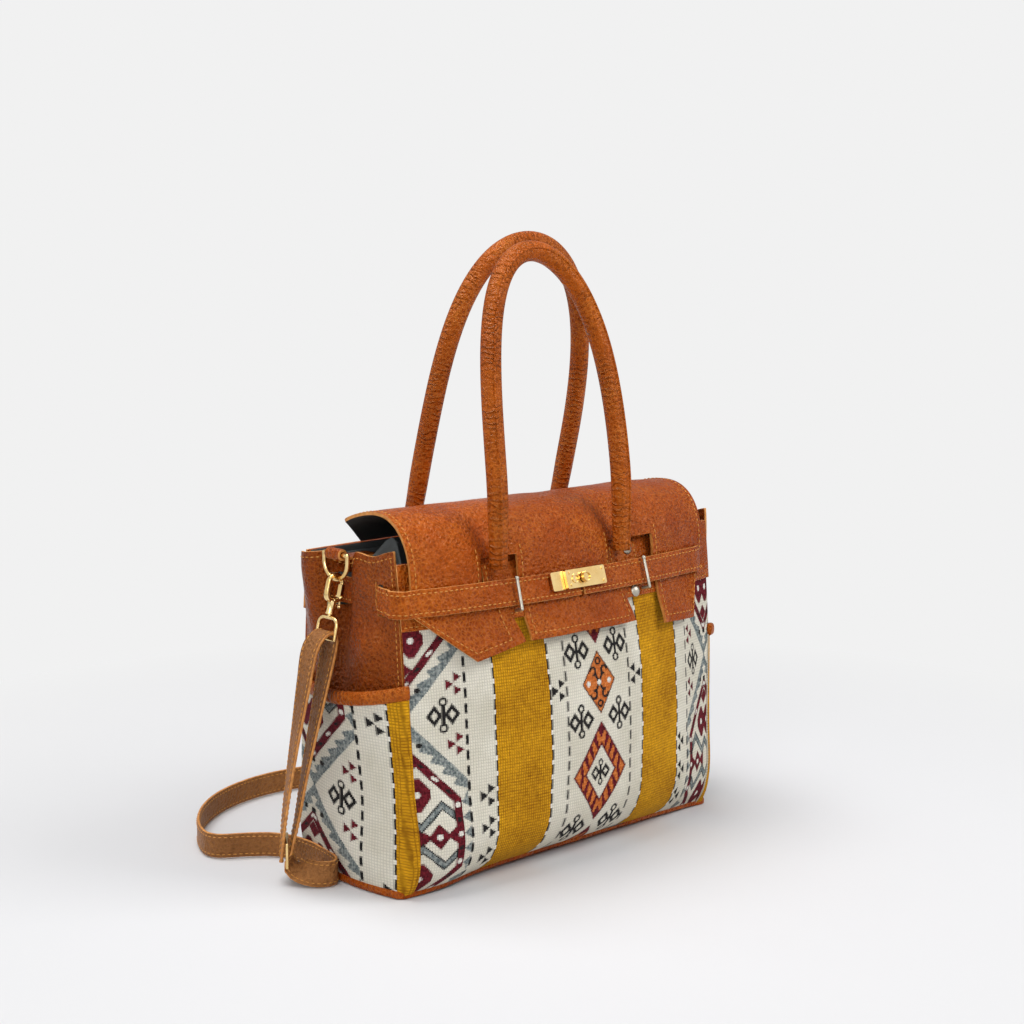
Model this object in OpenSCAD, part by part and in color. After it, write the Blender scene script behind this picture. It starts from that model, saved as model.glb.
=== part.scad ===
// Handled tote bag with a woven cloth body and a leather top.
// Lengths are in millimetres. The bag stands on z = 0, its front faces -Y and +X is its right.

/* [Body] */
// Width between the two side seams
body_w = 340; // [310:1:370]
// Depth between the front and back seams at the floor
base_d = 120; // [110:1:130]
// Depth between the front and back seams at the belly
belly_d = 132; // [122:1:142]
// Depth between the front and back seams at the rim
rim_d = 110; // [104:1:118]
// Height at which the body is fullest
belly_h = 100; // [85:1:115]
// Height of the rim at the middle of the side
rim_h = 262; // [256:1:275]
// How far the rim of the side rises towards the front
rim_rise = 6; // [0:1:10]
// How far the front and back swell at the floor
base_swell = 2; // [0:1:6]
// How far the front and back swell at the belly
belly_swell = 30; // [20:1:36]
// How far the front and back swell at the rim
rim_swell = 8; // [4:1:14]
// How far the sides swell
side_swell = 6; // [2:1:9]
// Thickness of the woven cloth
cloth_t = 2.5; // [1.5:0.1:3]
// Thickness of the leather of the yokes and handle tabs
leather_t = 2; // [1.5:0.1:2.5]
// Thickness of the lining
lining_t = 1.2; // [0.8:0.1:1.6]
// Thickness of the stiff base
base_t = 6.7; // [5:0.1:8]
// Height of the cloth's lower edge at the corners
foot_h = 2.5; // [1:0.1:3.5]
// How far the front and back lower edges arch up at their middle
foot_arch = 4.5; // [0:0.5:6]
// Drop from the rim to the seam between the cloth and the leather yoke
yoke_drop = 54; // [50:1:62]

/* [Side fold] */
// How far the side folds in at the rim
fold_in = 30; // [26:1:34]
// Height at which the fold starts
fold_h = 120; // [100:1:130]
// Half width of the fold
fold_r = 11; // [10:0.5:12]
// Distance of the fold behind the middle of the side
fold_y = 12; // [10:1:14]

/* [Side pockets] */
// Height of the pocket's mouth at its front seam
pocket_h = 158; // [150:1:166]
// Height of the pocket's mouth at its back seam
pocket_back_h = 148; // [140:1:166]
// How far the mouth sags at its middle
pocket_dip = 7; // [4:1:14]
// How far the mouth stands open
pocket_gape = 8; // [4:1:10]
// Thickness of the rolled binding on the mouth
binding_d = 7; // [5:0.5:8]

/* [Flap] */
// Width of the flap over the front
flap_w = 330; // [320:1:336]
// Width of the flap where it is sewn to the back
flap_neck_w = 234; // [220:1:260]
// Thickness of the flap
flap_t = 2.5; // [2:0.1:3]
// How steeply the flap rises from the back
flap_back_rise = 36; // [30:1:42]
// How far the flap's front stands up before it turns down
flap_front_rise = 82; // [74:1:90]
// Left edge of the slot for the front handle's left leg, from the middle
left_slot_x = -100; // [-102:1:-99]
// Width of the left slot
left_slot_w = 33; // [31:1:35]
// Left edge of the slot for the front handle's right leg, from the middle
right_slot_x = 35; // [32:1:37]
// Width of the right slot
right_slot_w = 51; // [46:1:53]
// Drop from the rim to the lower edge of the middle tongue
middle_tongue_drop = 71; // [66:1:76]
// Drop from the rim to the lowest point of the outer tongues
outer_tongue_drop = 81; // [76:1:86]
// Drop from the rim to the start of the outer tongues' slanted ends
outer_tongue_end_drop = 43; // [38:1:50]

/* [Belt and lock] */
// Drop from the rim to the belt's middle line
belt_drop = 33; // [31:1:35]
// Width of the belt
belt_w = 21; // [18:0.5:22]
// Thickness of the belt
belt_t = 2.5; // [2:0.1:3]
// Place of the lock, from the middle
lock_x = -7; // [-12:1:-2]
// Length of the lock's base plate
base_plate_l = 38; // [34:1:42]
// Length of the lock's hasp plate
hasp_l = 44; // [40:1:48]
// Height of both plates
plate_h = 15; // [13:0.5:17]
// Thickness of each plate
plate_t = 1.4; // [1:0.1:1.8]
// Diameter of the turning post
post_d = 6; // [5:0.2:7]
// Length of the turning bar
knob_l = 16; // [14:0.5:17]
// Diameter of the two rods that keep the belt in place
keeper_d = 2.6; // [2:0.1:3.2]

/* [Handles] */
// Diameter of the rolled handles
handle_d = 15.5; // [13:0.5:16.5]
// Distance between the legs of the front handle
front_span = 132; // [130:1:136]
// Distance between the legs of the back handle
back_span = 164; // [155:1:168]
// Height of the front handle's top
front_handle_h = 497; // [460:1:510]
// Height of the back handle's top
back_handle_h = 506; // [480:1:520]
// Place of the front handle's middle
front_handle_x = -22; // [-23:0.5:-21]
// Place of the back handle's middle
back_handle_x = 28; // [20:1:32]
// How far the front handle's top leans back
front_lean = 34; // [28:1:38]
// How far the back handle's top leans forward
back_lean = 70; // [60:1:74]
// Width of the leather tab under each handle leg
tab_w = 36; // [33:1:38]
// Diameter of the studs on the tabs
stud_d = 10; // [8:0.5:11]

/* [Rings and hooks] */
// Inner width of the D-rings
ring_w = 26; // [24:0.5:28]
// Thickness of the D-ring's wire
ring_d = 3.6; // [3:0.1:4]
// Length of the D-ring's straight sides
ring_leg = 5; // [4:0.5:7]
// Distance of the D-rings from the side seams
ring_out = 9; // [8:0.5:11]
// Inner width of the hook's mouth
mouth_w = 9.6; // [9:0.2:10.4]
// Inner length of the hook's mouth
mouth_l = 16; // [15:0.5:18]
// Width of the hook's wall
hook_wall = 3.2; // [2.8:0.1:3.6]
// Thickness of the hook
hook_t = 5; // [4:0.2:5.5]
// Length of the barrel under the hook
barrel_l = 9; // [8:0.5:11]
// Diameter of the barrel
barrel_d = 7.5; // [7:0.25:9]
// Diameter of the swivel pin in the barrel
swivel_d = 3; // [2.4:0.1:3.4]
// Thickness of the eye's wire
eye_d = 3; // [2.6:0.1:3.4]
// Inner height of the eye
eye_h = 13; // [12:0.5:15]

/* [Shoulder strap] */
// Width of the strap
strap_w = 20; // [18:0.5:21]
// Thickness of the strap
strap_t = 2.5; // [2:0.1:3]
// Thickness of the slider's bars
slider_d = 2.6; // [2:0.1:3]
// Height of the slider
slider_h = 19; // [17:0.5:22]

/* [Clearances] */
// Gap between sewn layers that lie on each other
lay = 0.3; // [0.2:0.05:0.5]
// Gap round pins and other turning parts
run = 0.3; // [0.2:0.05:0.4]
// Gap between the belt and the walls of the slits that it passes
slit_gap = 2; // [1.5:0.1:2.5]

/* [Hidden] */

tan = "#a5561c";
dark_tan = "#7c3d12";
cloth = "#e9e2d3";
mustard = "#c8901e";
black = "#1d1c1c";
brass = "#d9c28a";

half_w = body_w / 2;
front_rim_h = rim_h - 4;
back_rim_h = rim_h - 6;
yoke_h = rim_h - yoke_drop;
belt_h = rim_h - belt_drop;
middle_tongue_h = rim_h - middle_tongue_drop;
outer_tongue_h = rim_h - outer_tongue_drop;
outer_tongue_end_h = rim_h - outer_tongue_end_drop;

// Layers over the front and back, measured outwards from the cloth
yoke_in = lay;
yoke_out = yoke_in + leather_t;
tab_in = yoke_out + lay;
tab_out = tab_in + leather_t;
flap_in = tab_out + lay;
flap_out = flap_in + flap_t;
belt_in = flap_out + 2 * lay;
belt_out = belt_in + belt_t;
plate_in = belt_out + lay;
belt_mid = (belt_in + belt_out) / 2;
back_belt_mid = tab_in + 0.5 + belt_t / 2;

// A value that is lo at the floor, mid at the belly and hi at the rim
function sag(z, lo, mid, hi) =
    z < belly_h
        ? mid - (mid - lo) * pow((belly_h - z) / belly_h, 2)
        : mid - (mid - hi) * pow((z - belly_h) / (rim_h - belly_h), 2);

// Half the depth between the seams
function half_d(z) = sag(z, base_d, belly_d, rim_d) / 2;

// Distance of the cloth from the middle plane, at the front and at the back
function face_y(x, z) =
    half_d(z) + sag(z, base_swell, belly_swell, rim_swell) * (1 - pow(x / half_w, 2));

// Slopes of the front across and up the bag
function slope_x(x, z) = face_y(x + 1, z) - face_y(x, z);
function slope_z(x, z) = face_y(x, z + 1) - face_y(x, z);

// How far the side folds in at a height
function fold(z) = fold_in * pow(max(0, z - fold_h) / (rim_h - fold_h), 1.5);

// Swell of the side between its seams
function side_bow(y, z) = 1 - pow(min(1, abs(y) / half_d(z)), 2);

// Distance of the side's leather from the middle plane
function side_x(y, z) =
    half_w + side_swell * side_bow(y, z) - fold(z) * exp(-pow((y - fold_y) / fold_r, 2));

// Height of the lower edge of the front and back
function foot_z(x) = foot_h + foot_arch * (1 - pow(x / half_w, 2));

// Points of a smooth curve through the points of a list, with n steps between two points
function between(a, b, c, d, t) =
    0.5 * (2 * b + (c - a) * t + (2 * a - 5 * b + 4 * c - d) * t * t
        + (3 * b - a - 3 * c + d) * t * t * t);
function smooth(p, n) = concat(
    [for (i = [0 : len(p) - 2], k = [0 : n - 1])
        between(p[max(i - 1, 0)], p[i], p[i + 1], p[min(i + 2, len(p) - 1)], k / n)],
    [p[len(p) - 1]]
);

function unit(v) = v / norm(v);

// Direction of a path at its point i
function heading(p, i) = unit(p[min(i + 1, len(p) - 1)] - p[max(i - 1, 0)]);

// Four corners of a strip's section: p is its middle, along its path, across its width
function strip_ring(p, along, across, w, t) =
    let (
        a = unit(across - (across * along) * along),
        n = cross(along, a)
    )
    [p - a * w / 2 - n * t / 2, p + a * w / 2 - n * t / 2,
        p + a * w / 2 + n * t / 2, p - a * w / 2 + n * t / 2];

// A solid through a list of rings that all have the same number of points
module loft(rings) {
    n = len(rings[0]);
    last = len(rings) - 1;
    start = (last + 1) * n;
    function middle(r) = [for (v = r) 1] * r / n;
    polyhedron(
        points = concat([for (r = rings, p = r) p], [middle(rings[0]), middle(rings[last])]),
        faces = concat(
            [for (j = [0 : n - 1]) [j, (j + 1) % n, start]],
            [for (i = [0 : last - 1], j = [0 : n - 1], half = [0, 1])
                let (
                    a = i * n + j,
                    b = i * n + (j + 1) % n,
                    c = a + n,
                    d = b + n
                )
                half == 0 ? [a, c, b] : [b, c, d]],
            [for (j = [0 : n - 1]) [last * n + (j + 1) % n, last * n + j, start + 1]]
        ),
        convexity = 10
    );
}

// A sheet between an outer and an inner grid of points, open at the cells [row, column] in gaps
module sheet(outer, inner, gaps = []) {
    rows = len(outer);
    cols = len(outer[0]);
    count = rows * cols;
    gap_keys = [for (g = gaps) g[0] * cols + g[1]];
    solid = [for (i = [0 : rows - 2]) [for (j = [0 : cols - 2])
        len([for (k = gap_keys) if (k == i * cols + j) k]) == 0]];
    function filled(i, j) =
        i >= 0 && j >= 0 && i < rows - 1 && j < cols - 1 && solid[i][j];
    function wall(a, b) = [[a, b, b + count], [a, b + count, a + count]];
    polyhedron(
        points = concat([for (r = outer, p = r) p], [for (r = inner, p = r) p]),
        faces = [for (i = [0 : rows - 2], j = [0 : cols - 2]) if (filled(i, j))
            let (
                a = i * cols + j,
                b = a + 1,
                c = a + cols,
                d = c + 1
            )
            each concat(
                [[a, b, d], [a, d, c], [a + count, d + count, b + count], [a + count, c + count, d + count]],
                filled(i - 1, j) ? [] : wall(b, a),
                filled(i + 1, j) ? [] : wall(c, d),
                filled(i, j - 1) ? [] : wall(a, c),
                filled(i, j + 1) ? [] : wall(d, b)
            )],
        convexity = 10
    );
}

// A sheet over the front between two offsets, for the given places across and heights
module front_sheet(xs, zs, from, to) {
    function grid(out) = [for (z = zs) [for (i = [len(xs) - 1 : -1 : 0])
        [xs[i], -face_y(xs[i], z) - out, z]]];
    sheet(grid(to), grid(from));
}

// A smooth change from 0 to 1
function ease(t) = let (s = min(1, max(0, t))) s * s * (3 - 2 * s);

// Evenly spaced values from a to b in n steps
function steps(a, b, n) = [for (i = [0 : n]) a + (b - a) * i / n];

// Puts a shape on the front, with its own +Z pointing out of it and its +Y up along it
module on_front(x, z, out) {
    up = atan(-slope_z(x, z));
    turn = atan(-slope_x(x, z));
    translate([x, -face_y(x, z), z]) rotate([90 - up, 0, turn]) translate([0, 0, out]) children();
}

module rounded_plate(w, h, r) {
    polygon([for (q = [0 : 3], s = [0 : 4])
        let (a = 90 * q + 22.5 * s, cx = (q == 0 || q == 3 ? 1 : -1), cy = (q < 2 ? 1 : -1))
        [cx * (w / 2 - r) + r * cos(a), cy * (h / 2 - r) + r * sin(a)]]);
}

module right_side() { mirror([1, 0, 0]) children(); }
module at_back() { mirror([0, 1, 0]) children(); }

// The stiff base stands inside the cloth and is bevelled along its lower edges
base_bevel = 4;
base_corner_r = 14;
base_w = body_w - 2 * (cloth_t + lay) - 2;
base_plate_d = base_d - 2 * (cloth_t + lay);
module base_panel() {
    module bevel(l) {
        rotate([0, 90, 0]) rotate([0, 0, 45])
            cube([base_bevel * sqrt(2), base_bevel * sqrt(2), l + 2], center = true);
    }
    color(dark_tan) difference() {
        linear_extrude(base_t) rounded_plate(base_w, base_plate_d, base_corner_r);
        for (s = [-1, 1]) {
            translate([0, s * base_plate_d / 2, 0]) bevel(base_w);
            translate([s * base_w / 2, 0, 0]) rotate([0, 0, 90]) bevel(base_plate_d);
        }
    }
}

panel_xs = steps(-half_w, half_w, 14);
panel_vs = [0, 0.07, 0.2, 0.34, 0.5, 0.66, 0.82, 1];
// The panels follow the body from their arched lower edge to the rim
module panel(top) {
    function height(x, v) = foot_z(x) + (yoke_h - foot_z(x)) * v;
    function row(v, out) = [for (i = [len(panel_xs) - 1 : -1 : 0])
        let (x = panel_xs[i]) [x, -face_y(x, height(x, v)) - out, height(x, v)]];
    function level(z, out) = [for (i = [len(panel_xs) - 1 : -1 : 0])
        let (x = panel_xs[i]) [x, -face_y(x, z) - out, z]];
    function grid(out) = concat([for (v = panel_vs) row(v, out)], [level(belt_h, out), level(top, out)]);
    sheet(grid(0), grid(-cloth_t));
}
module front_panel() { color(cloth) panel(front_rim_h); }
module back_panel() { color(cloth) at_back() panel(back_rim_h); }
module front_yoke() {
    color(tan) front_sheet(panel_xs, [yoke_h, belt_h, front_rim_h], yoke_in, yoke_out);
}
module back_yoke() {
    color(tan) at_back() front_sheet(panel_xs, [yoke_h, belt_h, back_rim_h], yoke_in, yoke_out);
}

// A leather tab comes out of each side's fold over a dip in the rim and carries a ring
ring_y = fold_y - 4;
ring_tab_w = ring_w - 8;
ring_tab_t = 2.5;
rim_dip = 8;
dip_half = ring_tab_w / 2 + 2;
function rim_z(y) =
    rim_h - rim_rise * y / (rim_d / 2) - rim_dip * ease((dip_half + 9 - abs(y - ring_y)) / 9);

// The belt enters each side through a slit in the front lobe, crosses the fold and leaves behind it
inner_belt_x = half_w - 5;
lobe_slit_y = 36;
lobe_slit_half = 6.5;
belt_top = belt_h + belt_w / 2;
belt_low = belt_h - belt_w / 2;
slit_top = belt_top + slit_gap;
slit_low = belt_low - slit_gap;
// Where the fold's wall crosses the belt at a height
function fold_cross(z) = fold_r * sqrt(ln(fold(z) / (half_w + side_swell * 0.9 - inner_belt_x)));
fold_slit_near = fold_cross(slit_low) - slit_gap - 1.2;
fold_slit_far = fold_cross(slit_top) + slit_gap + 1.2;
gusset_ys = concat(
    [-lobe_slit_y - lobe_slit_half, -lobe_slit_y + lobe_slit_half],
    [-18, -8],
    [fold_y - fold_slit_far, fold_y - (fold_slit_near + fold_slit_far) / 2, fold_y - fold_slit_near],
    [fold_y],
    [fold_y + fold_slit_near, fold_y + (fold_slit_near + fold_slit_far) / 2, fold_y + fold_slit_far],
    [lobe_slit_y + 2 - lobe_slit_half, lobe_slit_y + 2 + lobe_slit_half]
);
gusset_zs = [foot_h, 45, 80, 115, 140, 165, 190, slit_low, slit_top];
slit_row = len(gusset_zs) - 2;

module gusset() {
    function edge(z) = half_d(z) - cloth_t - 2 * lay;
    function row(z, in) = [for (y = concat([-edge(z)], gusset_ys, [edge(z)]))
        [-side_x(y, z) + in, y, z]];
    function rim(in) = [for (y = concat([-edge(rim_h)], gusset_ys, [edge(rim_h)]))
        [-side_x(y, rim_h) + in, y, rim_z(y)]];
    sheet(
        concat([for (z = gusset_zs) row(z, 0)], [rim(0)]),
        concat([for (z = gusset_zs) row(z, cloth_t)], [rim(cloth_t)]),
        [for (c = [1, 5, 6, 9, 10, 12]) [slit_row, c]]
    );
}
module left_gusset() { color(tan) gusset(); }
module right_gusset() { color(tan) right_side() gusset(); }

// The pocket's cloth stands off the side by more and more towards its mouth
function mouth_z(y) =
    let (k = 0.5 + y / (2 * half_d(pocket_h)))
    pocket_h + (pocket_back_h - pocket_h) * k - pocket_dip * side_bow(y, pocket_h);
function pocket_x(y, z) =
    half_w + lay + (side_swell + 1 + pocket_gape * pow(z / pocket_h, 2)) * side_bow(y, z);
pocket_us = steps(-1, 1, 12);
module pocket() {
    function point(u, v, out) =
        let (
            y0 = u * half_d(pocket_h),
            z = foot_h + (mouth_z(y0) - foot_h) * v,
            y = u * half_d(z)
        )
        [-pocket_x(y, z) - out, y, z];
    sheet(
        [for (v = steps(0, 1, 6)) [for (u = pocket_us) point(u, v, cloth_t)]],
        [for (v = steps(0, 1, 6)) [for (u = pocket_us) point(u, v, 0)]]
    );
}
module left_pocket() { color(cloth) pocket(); }
module right_pocket() { color(cloth) right_side() pocket(); }

// A rolled strip of leather on the pocket's mouth
module pocket_binding() {
    r = binding_d / 2;
    loft([for (u = pocket_us)
        let (
            y0 = u * half_d(pocket_h),
            z = mouth_z(y0),
            y = u * half_d(z),
            x = pocket_x(y, z) + 0.8 * r
        )
        [for (a = [0 : 45 : 315]) [-x + r * 0.8 * sin(a), y, z + lay + r + r * cos(a)]]]);
}
module left_pocket_binding() { color(tan) pocket_binding(); }
module right_pocket_binding() { color(tan) right_side() pocket_binding(); }

// The lining hangs inside as a cloth bag, clear of the belt in the sides
lining_gap = 1.8;
lining_off = cloth_t + lining_gap;
lining_x = inner_belt_x - belt_t / 2 - lay;
function lining_side(y, z) = min(lining_x, side_x(y, z) - cloth_t - ring_tab_t - 2 * lay);
lining_half = 0.41 * rim_d;
lining_ys = concat(
    [-lining_half, -lining_half / 2], steps(fold_y - fold_r, fold_y + fold_r, 4), [lining_half]
);
module lining() {
    function run_x(z, in, sy) = [for (x = steps(-lining_x + in, lining_x - in, 10))
        [-sy * x, sy * (face_y(x, z) - lining_off - in), z]];
    function side(z, in, sx) = [for (y = lining_ys) [sx * (lining_side(y, z) - in), y, z]];
    function flip(l) = [for (i = [len(l) - 1 : -1 : 0]) l[i]];
    function ring(z, in) = concat(
        run_x(z, in, -1), side(z, in, 1), run_x(z, in, 1), flip(side(z, in, -1))
    );
    zs = concat(
        [base_t + lay],
        [for (share = [0.233, 0.426, 0.62, 0.756, 0.872]) share * front_rim_h],
        [front_rim_h - 8]
    );
    color(black) loft(concat(
        [for (i = [0 : len(zs) - 1]) ring(zs[i], 0)],
        [for (i = [len(zs) - 1 : -1 : 0]) ring(zs[i] + (i == 0 ? lining_t : 0), lining_t)]
    ));
}

// The flap springs from the back rim, arches over the mouth and hangs over the front in three tongues
flap_foot_h = belt_top - 2;
flap_back_z = back_rim_h + lay;
flap_reach = 43;
function flap_half(t) = (flap_neck_w + (flap_w - flap_neck_w) * ease(t / 0.35)) / 2;
tongue_tip_x = 116;
right_tip_x = 135;
right_corner_x = 148;
right_slot_end = right_slot_x + right_slot_w;
left_slot_end = left_slot_x + left_slot_w;
flap_xs = concat(
    [-flap_w / 2, -(flap_w / 2 + tongue_tip_x) / 2, -tongue_tip_x, (left_slot_x - tongue_tip_x) / 2],
    [left_slot_x, left_slot_end],
    [for (i = [1 : 4]) left_slot_end + (right_slot_x - left_slot_end) * i / 5],
    [right_slot_x, (right_slot_x + right_slot_end) / 2, right_slot_end],
    [(right_slot_end + right_tip_x) / 2, right_tip_x, right_corner_x, flap_w / 2]
);
// Height of the tongues' lower edges, and how far the tongues slide sideways at that edge
tongue_edge = [
    [-flap_w / 2, outer_tongue_end_h], [-tongue_tip_x, outer_tongue_h], [left_slot_x, outer_tongue_h + 10],
    [left_slot_end, middle_tongue_h], [right_slot_x, middle_tongue_h], [right_slot_end, outer_tongue_h + 2],
    [right_tip_x, outer_tongue_h], [right_corner_x, outer_tongue_end_h - 2], [flap_w / 2, outer_tongue_end_h]
];
tongue_slide = [
    [-tongue_tip_x, 0], [left_slot_x, 18], [left_slot_end, 2], [right_slot_x, 14], [right_slot_end, 3],
    [right_tip_x, 0]
];
arch_ts = [0, 0.1, 0.2, 0.3, 0.4, 0.5, 0.6, 0.7, 0.77, 0.83, 0.89, 0.95, 1];
slot_t = 0.83;
hang_ts = [0.35, 0.7, 1];
function bezier(p, t) =
    pow(1 - t, 3) * p[0] + 3 * pow(1 - t, 2) * t * p[1] + 3 * (1 - t) * t * t * p[2] + pow(t, 3) * p[3];
function bezier_way(p, t) =
    pow(1 - t, 2) * (p[1] - p[0]) + 2 * (1 - t) * t * (p[2] - p[1]) + t * t * (p[3] - p[2]);
module flap() {
    function arch(x, t, out) =
        let (
            w = x / flap_w * 2 * flap_half(t),
            back = face_y(w, back_rim_h) - cloth_t,
            front = face_y(w, flap_foot_h) + flap_in,
            p = [[back, flap_back_z], [back - flap_reach, flap_back_z + flap_back_rise],
                [-front, flap_foot_h + flap_front_rise], [-front, flap_foot_h]],
            at = bezier(p, t),
            way = unit(bezier_way(p, t))
        )
        [w, at[0] + out * way[1], at[1] - out * way[0]];
    function hung(x, t, out) =
        let (
            z = flap_foot_h + (lookup(x, tongue_edge) - flap_foot_h) * t,
            w = x + lookup(x, tongue_slide) * t
        )
        [w, -face_y(w, z) - flap_in - out, z];
    function grid(out) = concat(
        [for (t = arch_ts) [for (x = flap_xs) arch(x, t, out)]],
        [for (t = hang_ts) [for (x = flap_xs) hung(x, t, out)]]
    );
    slot_row = search(slot_t, arch_ts)[0];
    rows = len(arch_ts) + len(hang_ts);
    color(tan) sheet(
        grid(flap_t),
        grid(0),
        [for (i = [slot_row : rows - 2], c = [4, 10, 11]) [i, c]]
    );
}

// Half of the belt on the left: along the front, round the corner, through the side and to the back
belt_end_x = 136;
function corner_path(sy, off) = [
    [-half_w - 1, sy * (half_d(belt_h) + off)],
    [-half_w - 5.5, sy * (half_d(belt_h) + off - 4)],
    [-half_w - 8.5, sy * (half_d(belt_h) + off - 11)]
];
module belt(end_x) {
    d = half_d(belt_h);
    out = belt_t / 2 + 1;
    front = [for (x = steps(end_x, -half_w + 18, 9)) [x, -face_y(x, belt_h) - belt_mid]];
    through = [
        [-side_x(-d + 8, belt_h) - out - 2, -d + 6],
        [-side_x(-lobe_slit_y - 8, belt_h) - out, -lobe_slit_y - 8],
        [-half_w - 1, -lobe_slit_y + 2],
        [-inner_belt_x, -lobe_slit_y + 12],
        [-inner_belt_x, -10],
        [-inner_belt_x, fold_y],
        [-inner_belt_x, lobe_slit_y - 9],
        [-half_w - 1, lobe_slit_y],
        [-side_x(lobe_slit_y + 10, belt_h) - out, lobe_slit_y + 10],
        [-side_x(d - 8, belt_h) - out, d - 6]
    ];
    back = [for (x = steps(-half_w + 18, -belt_end_x, 2)) [x, face_y(x, belt_h) + back_belt_mid]];
    plan = concat(
        front, corner_path(-1, belt_mid), through,
        [for (i = [2 : -1 : 0]) corner_path(1, back_belt_mid)[i]], back
    );
    last = len(plan) - 1;
    // The strip leans with the front and the back, and stands upright in the side
    function lean(p, z) =
        let (x = min(abs(p[0]), half_w))
        abs(p[1]) < d ? 0 : face_y(x, z) - face_y(x, belt_h);
    function edge(i, z, side) =
        let (
            p = plan[i],
            h = unit(plan[min(i + 1, last)] - plan[max(i - 1, 0)]),
            n = [h[1], -h[0]],
            q = p + side * n * belt_t / 2
        )
        [q[0], q[1] + sign(p[1]) * lean(p, z), z];
    loft([for (i = [0 : last])
        [edge(i, belt_low, -1), edge(i, belt_top, -1), edge(i, belt_top, 1), edge(i, belt_low, 1)]]);
}
belt_gap = 2;
module left_belt() { color(tan) belt(lock_x - belt_gap); }
module right_belt() { color(tan) right_side() belt(-lock_x - belt_gap); }

// The lock: a base plate with a hollow post, a hasp plate over it, and a bar that turns on the post
hasp_z = plate_t + lay;
hasp_top = hasp_z + plate_t;
post_top = hasp_top + 0.6;
base_plate_x = -14;
hasp_x = 2;
stem_d = 2.8;
module on_lock() { on_front(lock_x, belt_h, plate_in) children(); }
module lock_base_plate() {
    color(brass) on_lock() difference() {
        union() {
            translate([base_plate_x, 0, 0]) linear_extrude(plate_t)
                rounded_plate(base_plate_l, plate_h, 1.5);
            cylinder(d = post_d, h = post_top, $fn = 48);
        }
        translate([0, 0, plate_t]) cylinder(d = stem_d + 2 * run, h = post_top, $fn = 48);
    }
}
module lock_hasp_plate() {
    color(brass) on_lock() difference() {
        union() {
            translate([hasp_x, 0, hasp_z]) linear_extrude(plate_t)
                rounded_plate(hasp_l, plate_h, 1.5);
            translate([hasp_x - hasp_l / 2 + 1.5, 0, hasp_z]) linear_extrude(2 * plate_t)
                rounded_plate(3, plate_h, 1);
        }
        translate([0, 0, -1]) cylinder(d = post_d + 2 * run, h = 12, $fn = 48);
    }
}
rivet_d = 2.2;
rivet_in = 2.6;
module lock_rivets() {
    color(brass) on_lock() for (sx = [-1, 1], sy = [-1, 1])
        translate([hasp_x + sx * (hasp_l / 2 - rivet_in - (sx < 0 ? 3 : 0)),
            sy * (plate_h / 2 - rivet_in), hasp_top])
            cylinder(d = rivet_d, h = 0.7, $fn = 32);
}
grommet_d = 7.6;
module lock_grommet() {
    color(brass) on_lock() translate([-9, 0, hasp_top]) difference() {
        cylinder(d = grommet_d, h = 0.8, $fn = 48);
        translate([0, 0, -1]) cylinder(d = grommet_d - 2.4, h = 3, $fn = 48);
    }
}
knob_z = post_top + run;
knob_t = 2.6;
knob_ring_d = 8.5;
module turn_knob() {
    color(brass) on_lock() {
        translate([0, 0, plate_t + run]) cylinder(d = stem_d, h = knob_z - plate_t + 0.5, $fn = 48);
        translate([0, 0, knob_z]) linear_extrude(knob_t) {
            translate([knob_l / 4, 0]) square([knob_l / 2, 4], center = true);
            translate([knob_l / 2, 0]) circle(d = 4, $fn = 32);
            circle(d = knob_ring_d, $fn = 48);
        }
        translate([0, 0, knob_z + knob_t]) rotate_extrude($fn = 48)
            translate([knob_ring_d / 2 - 1.2, 0]) square([1.2, 1.2]);
    }
}

// A rod stands in front of the belt on each side and turns back to the handle tab below it
keeper_top = belt_w / 2 - 3;
keeper_low = -belt_w / 2 - keeper_d / 2 - 5;
left_keeper_x = -73;
right_keeper_x = 66;
module keeper(x) {
    z = belt_out + lay + keeper_d / 2 + 1;
    on_front(x, belt_h, 0) {
        translate([0, keeper_low, z]) rotate([-90, 0, 0])
            cylinder(d = keeper_d, h = keeper_top - keeper_low, $fn = 32);
        translate([0, keeper_top, z]) sphere(d = keeper_d + 1, $fn = 32);
        translate([0, keeper_low, z]) sphere(d = keeper_d, $fn = 32);
        translate([0, keeper_low, tab_out + lay]) cylinder(d = keeper_d, h = z - tab_out - lay, $fn = 32);
    }
}
module left_keeper() { color(brass) keeper(left_keeper_x); }
module right_keeper() { color(brass) keeper(right_keeper_x); }

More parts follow.
